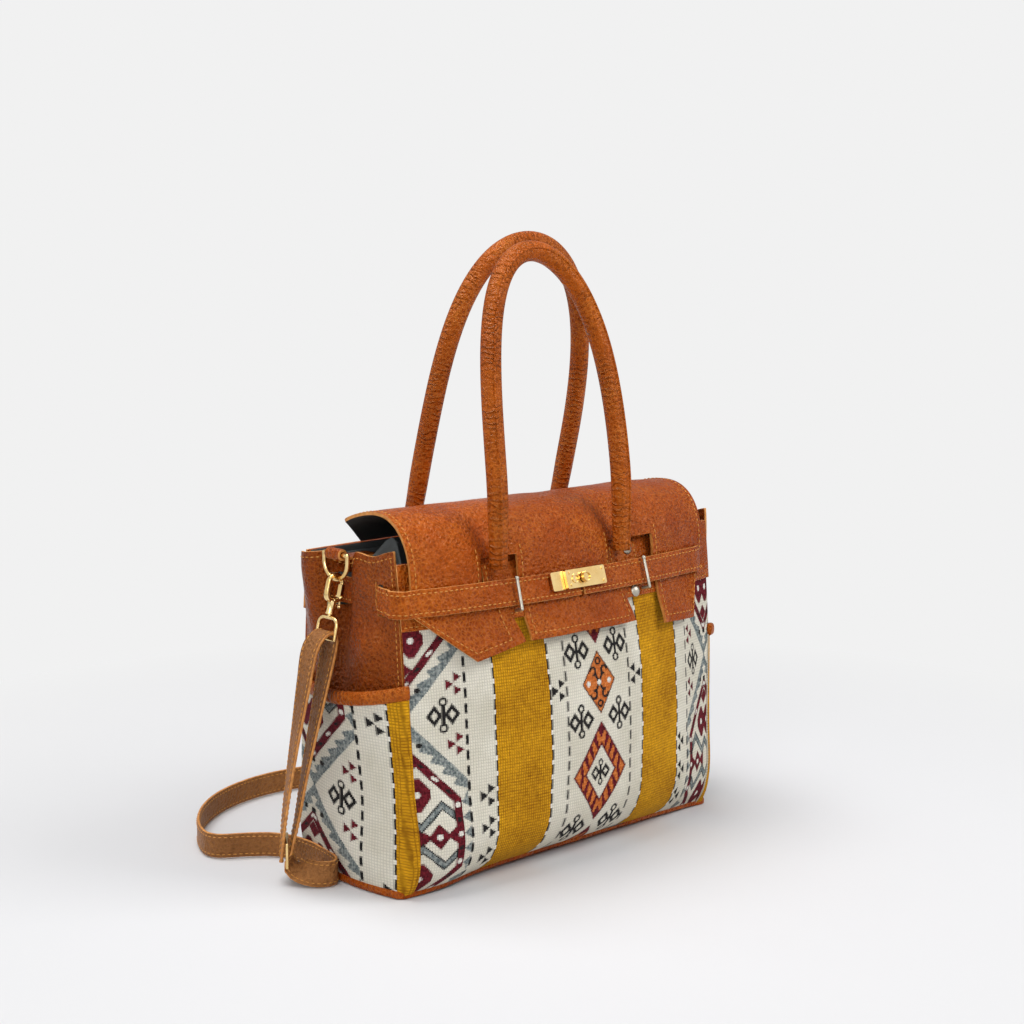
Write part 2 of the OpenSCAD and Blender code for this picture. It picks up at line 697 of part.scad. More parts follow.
// A rolled handle: an arch from leg to leg, thinner at its sewn feet, whose top leans over the bag
handle_foot_h = belt_top + 9;
foot_share = 0.65;
handle_stand = 2.2;
handle_sides = 12;
half_rings = 15;
module handle(mid_x, span, top_h, lean, lean_power, drift, foot_gap) {
    rise = top_h - handle_d / 2 - handle_foot_h;
    // Thickness of the handle over its first rings
    function girth(t) = handle_d / 2 * (foot_share + (1 - foot_share) * ease(t * 5));
    // Each half is walked from its foot, t = 0, to the top, t = 1
    function point(side, t) =
        let (
            a = 90 * t * t,
            up = sqrt(sin(a)),
            foot_x = mid_x + side * span / 2,
            out = face_y(foot_x, handle_foot_h) + tab_out + foot_gap + handle_stand * ease(t * 4) + girth(t)
        )
        [mid_x + drift * pow(up, 4) + side * span / 2 * cos(a),
            -out + lean * pow(up, lean_power), handle_foot_h + rise * up];
    ts = [for (i = [0 : half_rings]) i / half_rings];
    path = concat([for (t = ts) point(-1, t)], [for (i = [half_rings - 1 : -1 : 0]) point(1, ts[i])]);
    girths = concat([for (t = ts) girth(t)], [for (i = [half_rings - 1 : -1 : 0]) girth(ts[i])]);
    loft([for (i = [0 : len(path) - 1])
        let (
            h = heading(path, i),
            side = unit(cross(h, [0, 1, 0])),
            front = cross(side, h)
        )
        [for (k = [0 : handle_sides - 1])
            let (a = -360 * k / handle_sides)
            path[i] + girths[i] * (cos(a) * side + sin(a) * front)]]);
}
module front_handle() {
    color(tan) handle(front_handle_x, front_span, front_handle_h, front_lean, 1.5, -5, lay);
}
module back_handle() {
    color(tan) at_back() handle(back_handle_x, back_span, back_handle_h, back_lean, 0.75, -3, 4 * lay);
}

// Leather tabs under the handle legs, with studs above and below the belt
tab_top = belt_top + 12;
tab_low = yoke_h + 1;
front_left_x = front_handle_x - front_span / 2;
front_right_x = front_handle_x + front_span / 2;
back_left_x = back_handle_x - back_span / 2;
back_right_x = back_handle_x + back_span / 2;
front_tab_shift = 8;
module tab(x) {
    front_sheet(steps(x - tab_w / 2, x + tab_w / 2, 3), [tab_low, belt_h, tab_top], tab_in, tab_out);
}
module front_left_tab() { color(tan) tab(front_left_x + front_tab_shift); }
module front_right_tab() { color(tan) tab(front_right_x + front_tab_shift); }
module back_left_tab() { color(tan) at_back() tab(back_left_x); }
module back_right_tab() { color(tan) at_back() tab(back_right_x); }

stud_rise = 2.4;
stud_gap = 0.2;
stud_clear = 1.5;
stud_shift = 6;
module stud(x, z) {
    r = stud_d / 2;
    ball_r = (r * r + stud_rise * stud_rise) / (2 * stud_rise);
    on_front(x, z, tab_out + stud_gap) rotate_extrude($fn = 48)
        polygon(concat([[0, 0]], [for (i = [0 : 8])
            let (a = asin(r / ball_r) * (1 - i / 8))
            [ball_r * sin(a), ball_r * cos(a) - ball_r + stud_rise]]));
}
low_stud_z = belt_low - stud_d / 2 - stud_clear;
high_stud_z = belt_top + stud_d / 2 + 0.8 * stud_clear;
front_stud_x = front_right_x + front_tab_shift + stud_shift;
module tab_studs() {
    color(brass) {
        stud(front_stud_x, low_stud_z);
        stud(front_stud_x, high_stud_z);
        at_back() {
            stud(back_left_x, low_stud_z);
            stud(back_right_x, low_stud_z);
        }
    }
}

// The D-ring hangs outside the side with its bar along Y
ring_x = half_w + ring_out;
ring_r = ring_w / 2 + ring_d / 2;
loop_r = ring_d / 2 + run + ring_tab_t;
ring_z = rim_z(ring_y - dip_half) + loop_r + lay;
bow_z = ring_z - ring_leg - ring_r;
module ring_tab() {
    fold_x = side_x(ring_y, rim_h) - cloth_t;
    difference() {
        union() {
            translate([-ring_x, ring_y, ring_z]) rotate([90, 0, 0])
                cylinder(r = loop_r, h = ring_tab_w, center = true, $fn = 48);
            translate([-ring_x, ring_y - ring_tab_w / 2, ring_z - loop_r])
                cube([ring_x - fold_x + 2 * lay + ring_tab_t, ring_tab_w, ring_tab_t]);
        }
        translate([-ring_x, ring_y, ring_z]) rotate([90, 0, 0])
            cylinder(r = ring_d / 2 + run, h = ring_tab_w + 2, center = true, $fn = 48);
    }
}
module left_ring_tab() { color(tan) ring_tab(); }
module right_ring_tab() { color(tan) right_side() ring_tab(); }

module d_ring() {
    translate([-ring_x, ring_y, ring_z]) {
        rotate([90, 0, 0]) cylinder(d = ring_d, h = 2 * ring_r, center = true, $fn = 32);
        for (s = [-1, 1]) translate([0, s * ring_r, 0]) {
            sphere(d = ring_d, $fn = 32);
            translate([0, 0, -ring_leg]) cylinder(d = ring_d, h = ring_leg, $fn = 32);
        }
        translate([0, 0, -ring_leg]) rotate([0, 90, 0]) rotate([0, 0, -90])
            rotate_extrude(angle = 180, $fn = 64) translate([ring_r, 0]) circle(d = ring_d, $fn = 32);
    }
}
module left_d_ring() { color(brass) d_ring(); }
module right_d_ring() { color(brass) right_side() d_ring(); }

// A swivel hook hangs on the D-ring's bow. Its own origin is the middle of the bow's wire.
mouth_top = ring_d / 2 + run + 0.1;
mouth_low = mouth_top - mouth_l;
gate_top = -ring_d / 2 - 1.6;
gate_pin_z = mouth_low + 1.2;
gate_x = mouth_w / 2 + hook_wall / 2;
barrel_top = mouth_low - hook_wall - 1;
barrel_low = barrel_top - barrel_l;
pin_d = 1.6;
// The strap pulls the hook a little outwards
hook_lean = 14;
module at_bow() { translate([-ring_x, ring_y, bow_z]) rotate([0, hook_lean, 0]) children(); }
module hook_outline() {
    r = mouth_w / 2 + hook_wall;
    difference() {
        union() {
            translate([0, mouth_top - mouth_w / 2]) circle(r = r, $fn = 64);
            translate([-r, mouth_low]) square([2 * r, mouth_l - mouth_w / 2]);
            translate([-r, mouth_low - hook_wall]) square([2 * r - 1, hook_wall + 0.1]);
            translate([-barrel_d / 2, barrel_top - 1]) square([barrel_d, 3]);
        }
        translate([0, mouth_top - mouth_w / 2]) circle(d = mouth_w, $fn = 64);
        translate([-mouth_w / 2, mouth_low]) square([mouth_w, mouth_l - mouth_w / 2]);
        // The side that the gate closes
        translate([mouth_w / 2 - 0.1, mouth_low - hook_wall - 1])
            square([hook_wall + 2, gate_top - mouth_low + hook_wall + 1 + run]);
    }
}
module hook() {
    at_bow() difference() {
        union() {
            rotate([90, 0, 0]) translate([0, 0, -hook_t / 2]) linear_extrude(hook_t) hook_outline();
            translate([0, 0, barrel_low]) cylinder(d = barrel_d, h = barrel_l, $fn = 48);
            // Ears that hold the gate's pin
            translate([gate_x, 0, gate_pin_z]) rotate([90, 0, 0]) for (s = [-1, 1])
                translate([0, 0, s * (hook_t / 2 + 0.6) - 0.6]) hook_ear();
        }
        translate([gate_x, 0, gate_pin_z]) rotate([90, 0, 0])
            cylinder(d = pin_d + 2 * run, h = hook_t + 6, center = true, $fn = 32);
        translate([0, 0, barrel_low - 1]) cylinder(d = swivel_d + 2 * run, h = barrel_l + 1, $fn = 32);
        translate([0, 0, barrel_top - 3]) cylinder(d = swivel_d + 2.4, h = 2.6, $fn = 32);
    }
}
module hook_ear() {
    cylinder(d = 4.4, h = 1.2, $fn = 32);
    translate([-gate_x + mouth_w / 2 - 0.6 - hook_wall, -2.2 - 3.4, 0])
        cube([gate_x - mouth_w / 2 + hook_wall, 4.4, 1.2]);
}
module left_hook() { color(brass) hook(); }
module right_hook() { color(brass) right_side() hook(); }

// The gate is a sprung lever with a ball to press on its tail
gate_t = hook_t - 2 * run;
gate_tail = 8;
module hook_gate() {
    at_bow() translate([gate_x, 0, gate_pin_z]) {
        rotate([90, 0, 0]) {
            translate([0, 0, -gate_t / 2]) linear_extrude(gate_t) {
                circle(d = 3.4, $fn = 32);
                translate([-hook_wall / 2 + 0.2, 0]) square([hook_wall - 0.4, gate_top - gate_pin_z]);
            }
            cylinder(d = pin_d, h = hook_t + 2.4 + 2 * lay, center = true, $fn = 32);
        }
        rotate([0, 170, 0]) cylinder(d = 2, h = gate_tail, $fn = 32);
        rotate([0, 170, 0]) translate([0, 0, gate_tail]) sphere(d = 3.4, $fn = 32);
    }
}
module left_hook_gate() { color(brass) hook_gate(); }
module right_hook_gate() { color(brass) right_side() hook_gate(); }

// The eye turns in the barrel and takes the strap
eye_w = strap_w + 3;
eye_top = barrel_low - 1.2 - eye_d / 2;
eye_low = eye_top - eye_h - eye_d;
eye_r = 6;
module swivel_eye() {
    at_bow() {
        translate([0, 0, eye_top]) cylinder(d = swivel_d, h = barrel_low - eye_top + barrel_l - 2, $fn = 32);
        translate([0, 0, barrel_top - 2.6]) cylinder(d = swivel_d + 1.6, h = 1.8, $fn = 32);
        translate([0, 0, eye_low]) rotate([90, 0, 0]) cylinder(d = eye_d, h = eye_w, center = true, $fn = 32);
        translate([0, 0, eye_top]) rotate([90, 0, 0])
            cylinder(d = eye_d, h = eye_w - 2 * eye_r, center = true, $fn = 32);
        for (s = [-1, 1]) {
            translate([0, s * eye_w / 2, eye_low]) {
                sphere(d = eye_d, $fn = 32);
                cylinder(d = eye_d, h = eye_top - eye_r - eye_low, $fn = 32);
            }
            translate([0, s * (eye_w / 2 - eye_r), eye_top - eye_r]) rotate([90, 0, s * 90])
                rotate_extrude(angle = 90, $fn = 64) translate([eye_r, 0]) circle(d = eye_d, $fn = 32);
        }
    }
}
module left_swivel_eye() { color(brass) swivel_eye(); }
module right_swivel_eye() { color(brass) right_side() swivel_eye(); }

// The strap's route: [x, y, z, direction of its width in plan, lift of its width], in mm and degrees.
// It starts at the slider, goes up round the left eye and down again, lies on the floor and rises
// on the right.
strap_route = [
    [-216, 35, 20, 56, 0], [-217, 29, 50, 60, 0], [-216, 21, 90, 66, 0], [-214, 13, 130, 74, 0],
    [-211, 7, 165, 84, 0], [-205, 8, 187, 90, 0], [-198, 8, 197, 90, 0], [-190, 8, 200, 90, 0],
    [-186, 8, 196, 90, 0], [-187, 8, 186, 90, 0], [-194, 6, 165, 84, 0], [-200, 10, 130, 74, 0],
    [-204, 18, 90, 66, 0], [-206, 27, 50, 60, 0], [-209, 31, 26, 56, 0], [-211, 24, 14, 50, 30],
    [-206, 7, 11, 40, 70], [-194, -2, 11, 30, 90], [-185, 6, 11, 0, 90], [-181, 30, 11, 0, 90],
    [-180, 48, 11, 0, 90], [-182, 66, 11, 0, 90], [-190, 84, 11, 0, 90], [-206, 98, 11, 0, 90],
    [-226, 112, 11, 0, 90],
    [-228, 130, 11, 0, 90], [-214, 160, 11, 0, 90], [-188, 190, 11, 0, 90], [-155, 212, 11, 0, 90],
    [-114, 224, 11, 0, 90], [-70, 222, 11, 0, 90], [-10, 204, 11, 0, 90], [60, 178, 11, 0, 90],
    [130, 148, 11, 0, 90], [185, 112, 11, 0, 90], [214, 70, 12, 90, 80], [218, 34, 26, 90, 40],
    [216, 14, 70, 90, 0], [211, 8, 115, 90, 0], [204, 8, 150, 90, 0], [194, 8, 186, 90, 0]
];
strap_path = smooth(strap_route, 2);
module shoulder_strap() {
    place = [for (r = strap_path) [r[0], r[1], r[2]]];
    color(dark_tan) loft([for (i = [0 : len(strap_path) - 1])
        let (r = strap_path[i])
        strip_ring(place[i], heading(place, i),
            [cos(r[3]) * cos(r[4]), sin(r[3]) * cos(r[4]), sin(r[4])], strap_w, strap_t)]);
}

// The slider is a frame with a bar across its middle, and the strap's two layers pass it on both sides
slider_at = [-212, 33, 24];
slider_turn = 56;
module strap_slider() {
    w = strap_w + 3 + slider_d;
    color(brass) translate(slider_at) rotate([0, 0, slider_turn]) {
        for (z = [-slider_h / 2, 0, slider_h / 2]) translate([0, 0, z]) rotate([0, 90, 0])
            cylinder(d = slider_d, h = w, center = true, $fn = 32);
        for (s = [-1, 1]) translate([s * w / 2, 0, 0]) {
            cylinder(d = slider_d, h = slider_h, center = true, $fn = 32);
            for (z = [-slider_h / 2, slider_h / 2]) translate([0, 0, z]) sphere(d = slider_d, $fn = 32);
        }
    }
}

base_panel();
front_panel();
back_panel();
front_yoke();
back_yoke();
left_gusset();
right_gusset();
left_pocket();
right_pocket();
left_pocket_binding();
right_pocket_binding();
lining();
flap();
left_belt();
right_belt();
lock_base_plate();
lock_hasp_plate();
lock_rivets();
lock_grommet();
turn_knob();
left_keeper();
right_keeper();
front_handle();
back_handle();
front_left_tab();
front_right_tab();
back_left_tab();
back_right_tab();
tab_studs();
left_ring_tab();
right_ring_tab();
left_d_ring();
right_d_ring();
left_hook();
right_hook();
left_hook_gate();
right_hook_gate();
left_swivel_eye();
right_swivel_eye();
shoulder_strap();
strap_slider();
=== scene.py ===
"""A tote bag of patterned woven cloth and tan leather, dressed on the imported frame."""

import math

import bmesh
import bpy
from mathutils import Matrix, Vector, noise


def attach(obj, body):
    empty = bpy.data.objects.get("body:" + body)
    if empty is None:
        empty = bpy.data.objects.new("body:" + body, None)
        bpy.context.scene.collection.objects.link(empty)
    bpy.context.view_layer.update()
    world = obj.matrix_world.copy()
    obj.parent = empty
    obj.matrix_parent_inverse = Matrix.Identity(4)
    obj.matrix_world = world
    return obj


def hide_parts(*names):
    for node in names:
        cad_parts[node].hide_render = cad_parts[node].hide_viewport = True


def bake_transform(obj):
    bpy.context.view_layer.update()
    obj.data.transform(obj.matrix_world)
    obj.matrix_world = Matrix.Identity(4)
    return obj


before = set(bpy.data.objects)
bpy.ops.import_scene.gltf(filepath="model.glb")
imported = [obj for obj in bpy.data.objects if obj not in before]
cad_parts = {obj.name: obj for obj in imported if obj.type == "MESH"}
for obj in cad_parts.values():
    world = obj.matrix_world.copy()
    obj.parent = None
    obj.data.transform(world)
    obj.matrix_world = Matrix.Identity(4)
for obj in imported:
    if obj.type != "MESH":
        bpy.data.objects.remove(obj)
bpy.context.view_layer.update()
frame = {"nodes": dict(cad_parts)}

BAG = "bag"

# Sizes of the body, in metres, as in the part's source
HALF_W = 0.170
BELLY_H = 0.100
RIM_H = 0.262
FRONT_RIM_H = 0.258
BACK_RIM_H = 0.256
FOOT_H = 0.0025
FOOT_ARCH = 0.0045
SIDE_SWELL = 0.006
CLOTH_T = 0.0025
LEATHER_T = 0.002
YOKE_H = 0.208
FOLD_IN = 0.030
FOLD_H = 0.120
FOLD_R = 0.011
FOLD_Y = 0.012
RING_Y = 0.008
RING_TAB_W = 0.018
POCKET_H = 0.158
POCKET_BACK_H = 0.148
POCKET_DIP = 0.007
POCKET_GAPE = 0.008
BINDING_R = 0.0035
BELT_H = 0.229
BELT_W = 0.021
BELT_T = 0.0025
LAY = 0.0003
RIM_RISE = 0.006
RIM_DIP = 0.008
DIP_REACH = 0.011
DIP_RAMP = 0.009
POCKET_STAND = 0.001

# At the floor, the belly and the rim: half the depth between the seams, and the swell of the cloth past it
HALF_DEPTHS = (0.060, 0.066, 0.055)
SWELLS = (0.002, 0.030, 0.008)

# Layers over the cloth, measured outwards from it
YOKE_OUT = 0.0023
YOKE_HALF_W = 0.1716
TAB_OUT = 0.0046
FLAP_IN = 0.0049
FLAP_T = 0.0025
BELT_MID = 0.00925
BACK_BELT_MID = 0.00435

UP = Vector((0, 0, 1))
ALONG_Y = Vector((0, 1, 0))
TINY = 1e-6


def ease(t):
    """A smooth step from 0 to 1."""
    t = min(1.0, max(0.0, t))
    return t * t * (3 - 2 * t)


def bump(x, middle, spread):
    """A soft bump, 1 at its middle."""
    return math.exp(-(((x - middle) / spread) ** 2))


def lookup(x, pairs):
    """The value at x between the pairs of a list."""
    if x <= pairs[0][0]:
        return pairs[0][1]
    for (x0, y0), (x1, y1) in zip(pairs, pairs[1:]):
        if x <= x1:
            return y0 + (y1 - y0) * (x - x0) / (x1 - x0)
    return pairs[-1][1]


def sag(z, lo, mid, hi):
    """A value that is lo at the floor, mid at the belly and hi at the rim."""
    if z < BELLY_H:
        return mid - (mid - lo) * ((BELLY_H - z) / BELLY_H) ** 2
    return mid - (mid - hi) * ((z - BELLY_H) / (RIM_H - BELLY_H)) ** 2


def half_d(z):
    """Half the depth between the seams at a height."""
    return sag(z, *HALF_DEPTHS)


def face_y(x, z):
    """Distance of the cloth from the middle plane."""
    return half_d(z) + sag(z, *SWELLS) * (1 - (x / HALF_W) ** 2)


def foot_z(x):
    """Height of the lower edge of the front and back."""
    return FOOT_H + FOOT_ARCH * (1 - (x / HALF_W) ** 2)


def side_bow(y, z):
    """Swell of a side between its seams."""
    return 1 - min(1.0, abs(y) / half_d(z)) ** 2


def side_x(y, z):
    """Distance of the side's leather from the middle plane."""
    fold = FOLD_IN * (max(0.0, z - FOLD_H) / (RIM_H - FOLD_H)) ** 1.5
    return HALF_W + SIDE_SWELL * side_bow(y, z) - fold * bump(y, FOLD_Y, FOLD_R)


def rim_z(y):
    """Height of a side's rim, which rises to the front and dips for the ring's tab."""
    dip = ease((RING_TAB_W / 2 + DIP_REACH - abs(y - RING_Y)) / DIP_RAMP)
    return RIM_H - RIM_RISE * y / HALF_DEPTHS[2] - RIM_DIP * dip


def mouth_z(y):
    """Height of the pocket's mouth."""
    back = 0.5 + y / (2 * half_d(POCKET_H))
    return POCKET_H + (POCKET_BACK_H - POCKET_H) * back - POCKET_DIP * side_bow(y, POCKET_H)


def pocket_x(y, z):
    """Distance of the pocket's outer face from the middle plane."""
    stand = SIDE_SWELL + POCKET_STAND + POCKET_GAPE * (z / POCKET_H) ** 2
    return HALF_W + LAY + CLOTH_T + stand * side_bow(y, z)


def wobble(x, y, z, scale):
    """Smooth noise between about -1 and 1."""
    return noise.noise(Vector((x, y, z)) * scale)


def grid(across, up, place, cut=None, keep=None):
    """A sheet of faces: place gives a point from its shares across and up, cut its place on the flat."""
    bm = bmesh.new()
    bmesh.ops.create_grid(bm, x_segments=across, y_segments=up, size=0.5)
    if keep:
        gone = []
        for face in bm.faces:
            middle = face.calc_center_median()
            if not keep(middle.x + 0.5, middle.y + 0.5):
                gone.append(face)
        bmesh.ops.delete(bm, geom=gone, context="FACES")
    layer = bm.loops.layers.uv.new("cut")
    for face in bm.faces:
        for loop in face.loops:
            u, v = loop.vert.co.x + 0.5, loop.vert.co.y + 0.5
            loop[layer].uv = cut(u, v) if cut else (u, v)
    for vert in bm.verts:
        vert.co = place(vert.co.x + 0.5, vert.co.y + 0.5)
    return bm


def close(bm):
    """Joins the edges that meet, fills the open ends and turns all faces outwards."""
    bmesh.ops.remove_doubles(bm, verts=bm.verts, dist=TINY)
    rim = [edge for edge in bm.edges if edge.is_boundary]
    if rim:
        bmesh.ops.holes_fill(bm, edges=rim, sides=0)
    bmesh.ops.recalc_face_normals(bm, faces=bm.faces)
    return bm


def heading(path, i):
    """The direction of a path at one of its points."""
    return (path[min(i + 1, len(path) - 1)] - path[max(i - 1, 0)]).normalized()


STRIP = 7.0


def sweep(path, wide, size, power=2.0, around=16):
    """A closed strip or tube: wide is the direction of its width at a point, size its two half sizes.

    Its section is round at a power of 2, and has square corners at the power of a strip."""
    last = len(path) - 1

    def place(u, v):
        i = round(v * last)
        ahead = heading(path, i)
        across = wide(i)
        across = (across - ahead * across.dot(ahead)).normalized()
        out = ahead.cross(across)
        half_w, half_t = size(i)
        angle = 2 * math.pi * u
        c, s = math.cos(angle), math.sin(angle)
        side = math.copysign(abs(c) ** (2 / power), c) * half_w
        rise = math.copysign(abs(s) ** (2 / power), s) * half_t
        return path[i] + across * side + out * rise

    run = [0.0]
    for a, b in zip(path, path[1:]):
        run.append(run[-1] + (b - a).length)
    return close(grid(around, last, place, lambda u, v: (u, run[round(v * last)])))


NARROW_SIDE = 0.34


def show_edges(bm, index):
    """Gives the narrow sides of a swept strip a material of their own."""
    layer = bm.loops.layers.uv.active
    for face in bm.faces:
        turn = sum(loop[layer].uv.x for loop in face.loops) / len(face.loops)
        if abs(2 * turn % 1 - 0.5) > NARROW_SIDE:
            face.material_index = index
    return bm


def smooth_rows(rows, steps):
    """Points of a smooth curve through the rows of a list."""
    out = []
    for i in range(len(rows) - 1):
        a, b, c, d = (rows[min(max(k, 0), len(rows) - 1)] for k in (i - 1, i, i + 1, i + 2))
        for step in range(steps):
            t = step / steps
            out.append([0.5 * (2 * q + (r - p) * t + (2 * p - 5 * q + 4 * r - s) * t * t
                               + (3 * q - p - 3 * r + s) * t ** 3)
                        for p, q, r, s in zip(a, b, c, d)])
    out.append(list(rows[-1]))
    return out


MIRROR_AXES = {"right": 0, "back": 1}


def to_side(side, *meshes):
    """Mirrors meshes made for the left or the front when they are for the right or the back."""
    if side not in MIRROR_AXES:
        return
    factors = [1, 1, 1]
    factors[MIRROR_AXES[side]] = -1
    for bm in meshes:
        bmesh.ops.scale(bm, verts=bm.verts, vec=factors)
        bmesh.ops.reverse_faces(bm, faces=bm.faces)


def join(bm, other):
    """Adds another mesh to this one."""
    mesh = bpy.data.meshes.new("join")
    other.to_mesh(mesh)
    other.free()
    bm.from_mesh(mesh)
    bpy.data.meshes.remove(mesh)
    return bm


STITCH_PITCH = 0.0046
STITCH_L = 0.0034
STITCH_R = 0.00042
STITCH_LIFT = 0.3
PROBE = 0.002


def stitch_row(bm, points, normals, index=0):
    """Sews a row of stitches along points that lie on a surface with these normals."""
    row = bmesh.new()
    walked = 0.0
    for a, b, n in zip(points, points[1:], normals):
        step = (b - a).length
        while walked < step:
            at = a.lerp(b, walked / step)
            ahead = (b - a).normalized()
            side = n.cross(ahead).normalized()
            up = ahead.cross(side)
            turn = Matrix((ahead * STITCH_L / 2, side * STITCH_R, up * STITCH_R)).transposed().to_4x4()
            turn.translation = at + up * STITCH_R * STITCH_LIFT
            bmesh.ops.create_uvsphere(row, u_segments=6, v_segments=4, radius=1, matrix=turn)
            walked += STITCH_PITCH
        walked -= step
    for face in row.faces:
        face.material_index = index
    join(bm, row)


def sew(bm, surface, line, index=0):
    """Stitches along a line of shares across and up on a surface."""
    points, normals = [], []
    for u, v in line:
        at = surface(u, v)
        du = surface(u + PROBE, v) - surface(u - PROBE, v)
        dv = surface(u, v + PROBE) - surface(u, v - PROBE)
        points.append(at)
        normals.append(du.cross(dv).normalized())
    stitch_row(bm, points, normals, index)


def sew_edge(bm, path, wide, side, face, size, index=0):
    """Stitches along a strip; side and face, each 1 or -1, choose its edge and its face.

    The size is the row's distance from the strip's middle line and half the strip's thickness."""
    points, normals = [], []
    for i, at in enumerate(path):
        out = heading(path, i).cross(wide[i]) * face
        points.append(at + wide[i] * side * size[0] + out * size[1])
        normals.append(out)
    stitch_row(bm, points, normals, index)


def span(a, b, count):
    """Evenly spaced values from a to b."""
    return [a + (b - a) * i / count for i in range(count + 1)]


CUT_EDGE_ANGLE = math.radians(55)


def add(name, bm, materials, nodes=(), thick=0.0, edge=0.0, body=BAG):
    """Makes a piece of a mesh; thick gives a sheet its thickness inwards, edge rounds its cut edges.

    The last material is on a sheet's rim, and of three the second is on its inside."""
    for face in bm.faces:
        face.smooth = True
    mesh = bpy.data.meshes.new(name)
    bm.to_mesh(mesh)
    bm.free()
    for material in materials:
        mesh.materials.append(material)
    piece = bpy.data.objects.new(name, mesh)
    bpy.context.scene.collection.objects.link(piece)
    if thick:
        solid = piece.modifiers.new("thickness", "SOLIDIFY")
        solid.thickness = thick
        solid.offset = -1
        solid.material_offset = max(0, len(materials) - 2)
        solid.material_offset_rim = len(materials) - 1
    if edge:
        rounded = piece.modifiers.new("cut edge", "BEVEL")
        rounded.width = edge
        rounded.segments = 2
        rounded.limit_method = "ANGLE"
        rounded.angle_limit = CUT_EDGE_ANGLE
        piece.modifiers.new("flat faces", "WEIGHTED_NORMAL")
    if body:
        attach(piece, body)
    if nodes:
        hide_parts(*nodes)
    return piece


def srgb(r, g, b):
    """A colour as it is seen, 0 to 255, in the renderer's linear values."""
    def linear(c):
        c /= 255
        return c / 12.92 if c <= 0.04045 else ((c + 0.055) / 1.055) ** 2.4
    return (linear(r), linear(g), linear(b), 1.0)


class Value:
    """A number in a material's node tree, with the usual signs of arithmetic."""

    def __init__(self, paint, socket):
        self.paint = paint
        self.socket = socket

    def math(self, operation, *others):
        inputs = {0: self}
        for i, other in enumerate(others):
            inputs[i + 1] = other
        node = self.paint.node("ShaderNodeMath", inputs, operation=operation)
        return Value(self.paint, node.outputs[0])

    def __add__(self, other):
        return self.math("ADD", other)

    def __sub__(self, other):
        return self.math("SUBTRACT", other)

    def __mul__(self, other):
        return self.math("MULTIPLY", other)

    def __truediv__(self, other):
        return self.math("DIVIDE", other)

    def __rsub__(self, other):
        return self * -1 + other

    def __abs__(self):
        return self.math("ABSOLUTE")

    __radd__ = __add__
    __rmul__ = __mul__

    def least(self, other):
        return self.math("MINIMUM", other)

    def most(self, other):
        return self.math("MAXIMUM", other)

    def below(self, other):
        return self.math("LESS_THAN", other)

    def wave(self):
        return self.math("SINE")

    def power(self, other):
        return self.math("POWER", other)

    def snap(self, step):
        return self.math("SNAP", step)

    def fold(self, period):
        """Distance to the nearest multiple of a period."""
        return abs(self.math("WRAP", period / 2, -period / 2))

    def inside(self, soft):
        """1 where a distance is below zero, with a soft edge."""
        node = self.paint.node("ShaderNodeMapRange", {0: self, 1: soft, 2: -soft, 3: 0.0, 4: 1.0})
        return Value(self.paint, node.outputs[0])

    def ramp(self, low, high, start=0.0, end=1.0):
        """Goes from start to end as the value goes from low to high."""
        node = self.paint.node("ShaderNodeMapRange", {0: self, 1: low, 2: high, 3: start, 4: end})
        return Value(self.paint, node.outputs[0])


class Nodes:
    """A node tree, whose nodes come from one method."""

    def __init__(self, tree):
        self.tree = tree

    def feed(self, socket, value):
        """Links a value to a socket, or writes it there."""
        if isinstance(value, Value):
            value = value.socket
        if isinstance(value, bpy.types.NodeSocket):
            self.tree.links.new(value, socket)
        else:
            socket.default_value = value

    def node(self, kind, inputs, **settings):
        made = self.tree.nodes.new(kind)
        for key, value in settings.items():
            setattr(made, key, value)
        for key, value in inputs.items():
            self.feed(made.inputs[key], value)
        return made


class Paint(Nodes):
    """A material of procedural nodes."""

    def __init__(self, name):
        self.material = bpy.data.materials.new(name)
        self.material.use_nodes = True
        super().__init__(self.material.node_tree)
        self.shader = next(n for n in self.tree.nodes if n.type == "BSDF_PRINCIPLED")

    def place(self, source):
        """The Object or UV place of the shaded point."""
        return self.node("ShaderNodeTexCoord", {}).outputs[source]

    def parts(self, vector):
        split = self.node("ShaderNodeSeparateXYZ", {0: vector})
        return [Value(self, socket) for socket in split.outputs]

    def noise(self, vector, scale, detail=2.0, rough=0.5):
        inputs = {"Vector": vector, "Scale": scale, "Detail": detail, "Roughness": rough}
        return Value(self, self.node("ShaderNodeTexNoise", inputs).outputs[0])

    def cells(self, vector, scale, feature="F1"):
        inputs = {"Vector": vector, "Scale": scale}
        return Value(self, self.node("ShaderNodeTexVoronoi", inputs, feature=feature).outputs["Distance"])

    def stretch(self, vector, x, y, z):
        node = self.node("ShaderNodeVectorMath", {0: vector, 1: (x, y, z)}, operation="MULTIPLY")
        return node.outputs[0]

    def mix(self, share, a, b, blend="MIX"):
        node = self.node("ShaderNodeMix", {0: share, 6: a, 7: b}, data_type="RGBA", blend_type=blend)
        return node.outputs[2]

    def finish(self, colour, rough, height=None, depth=0.0005, strength=0.5, **constants):
        """Wires the colour, roughness and relief, and sets the other inputs of the surface."""
        self.feed(self.shader.inputs["Base Color"], colour)
        self.feed(self.shader.inputs["Roughness"], rough)
        if height is not None:
            inputs = {"Height": height, "Distance": depth, "Strength": strength}
            relief = self.node("ShaderNodeBump", inputs)
            self.feed(self.shader.inputs["Normal"], relief.outputs[0])
        for key, value in constants.items():
            self.shader.inputs[key.replace("_", " ")].default_value = value
        return self.material


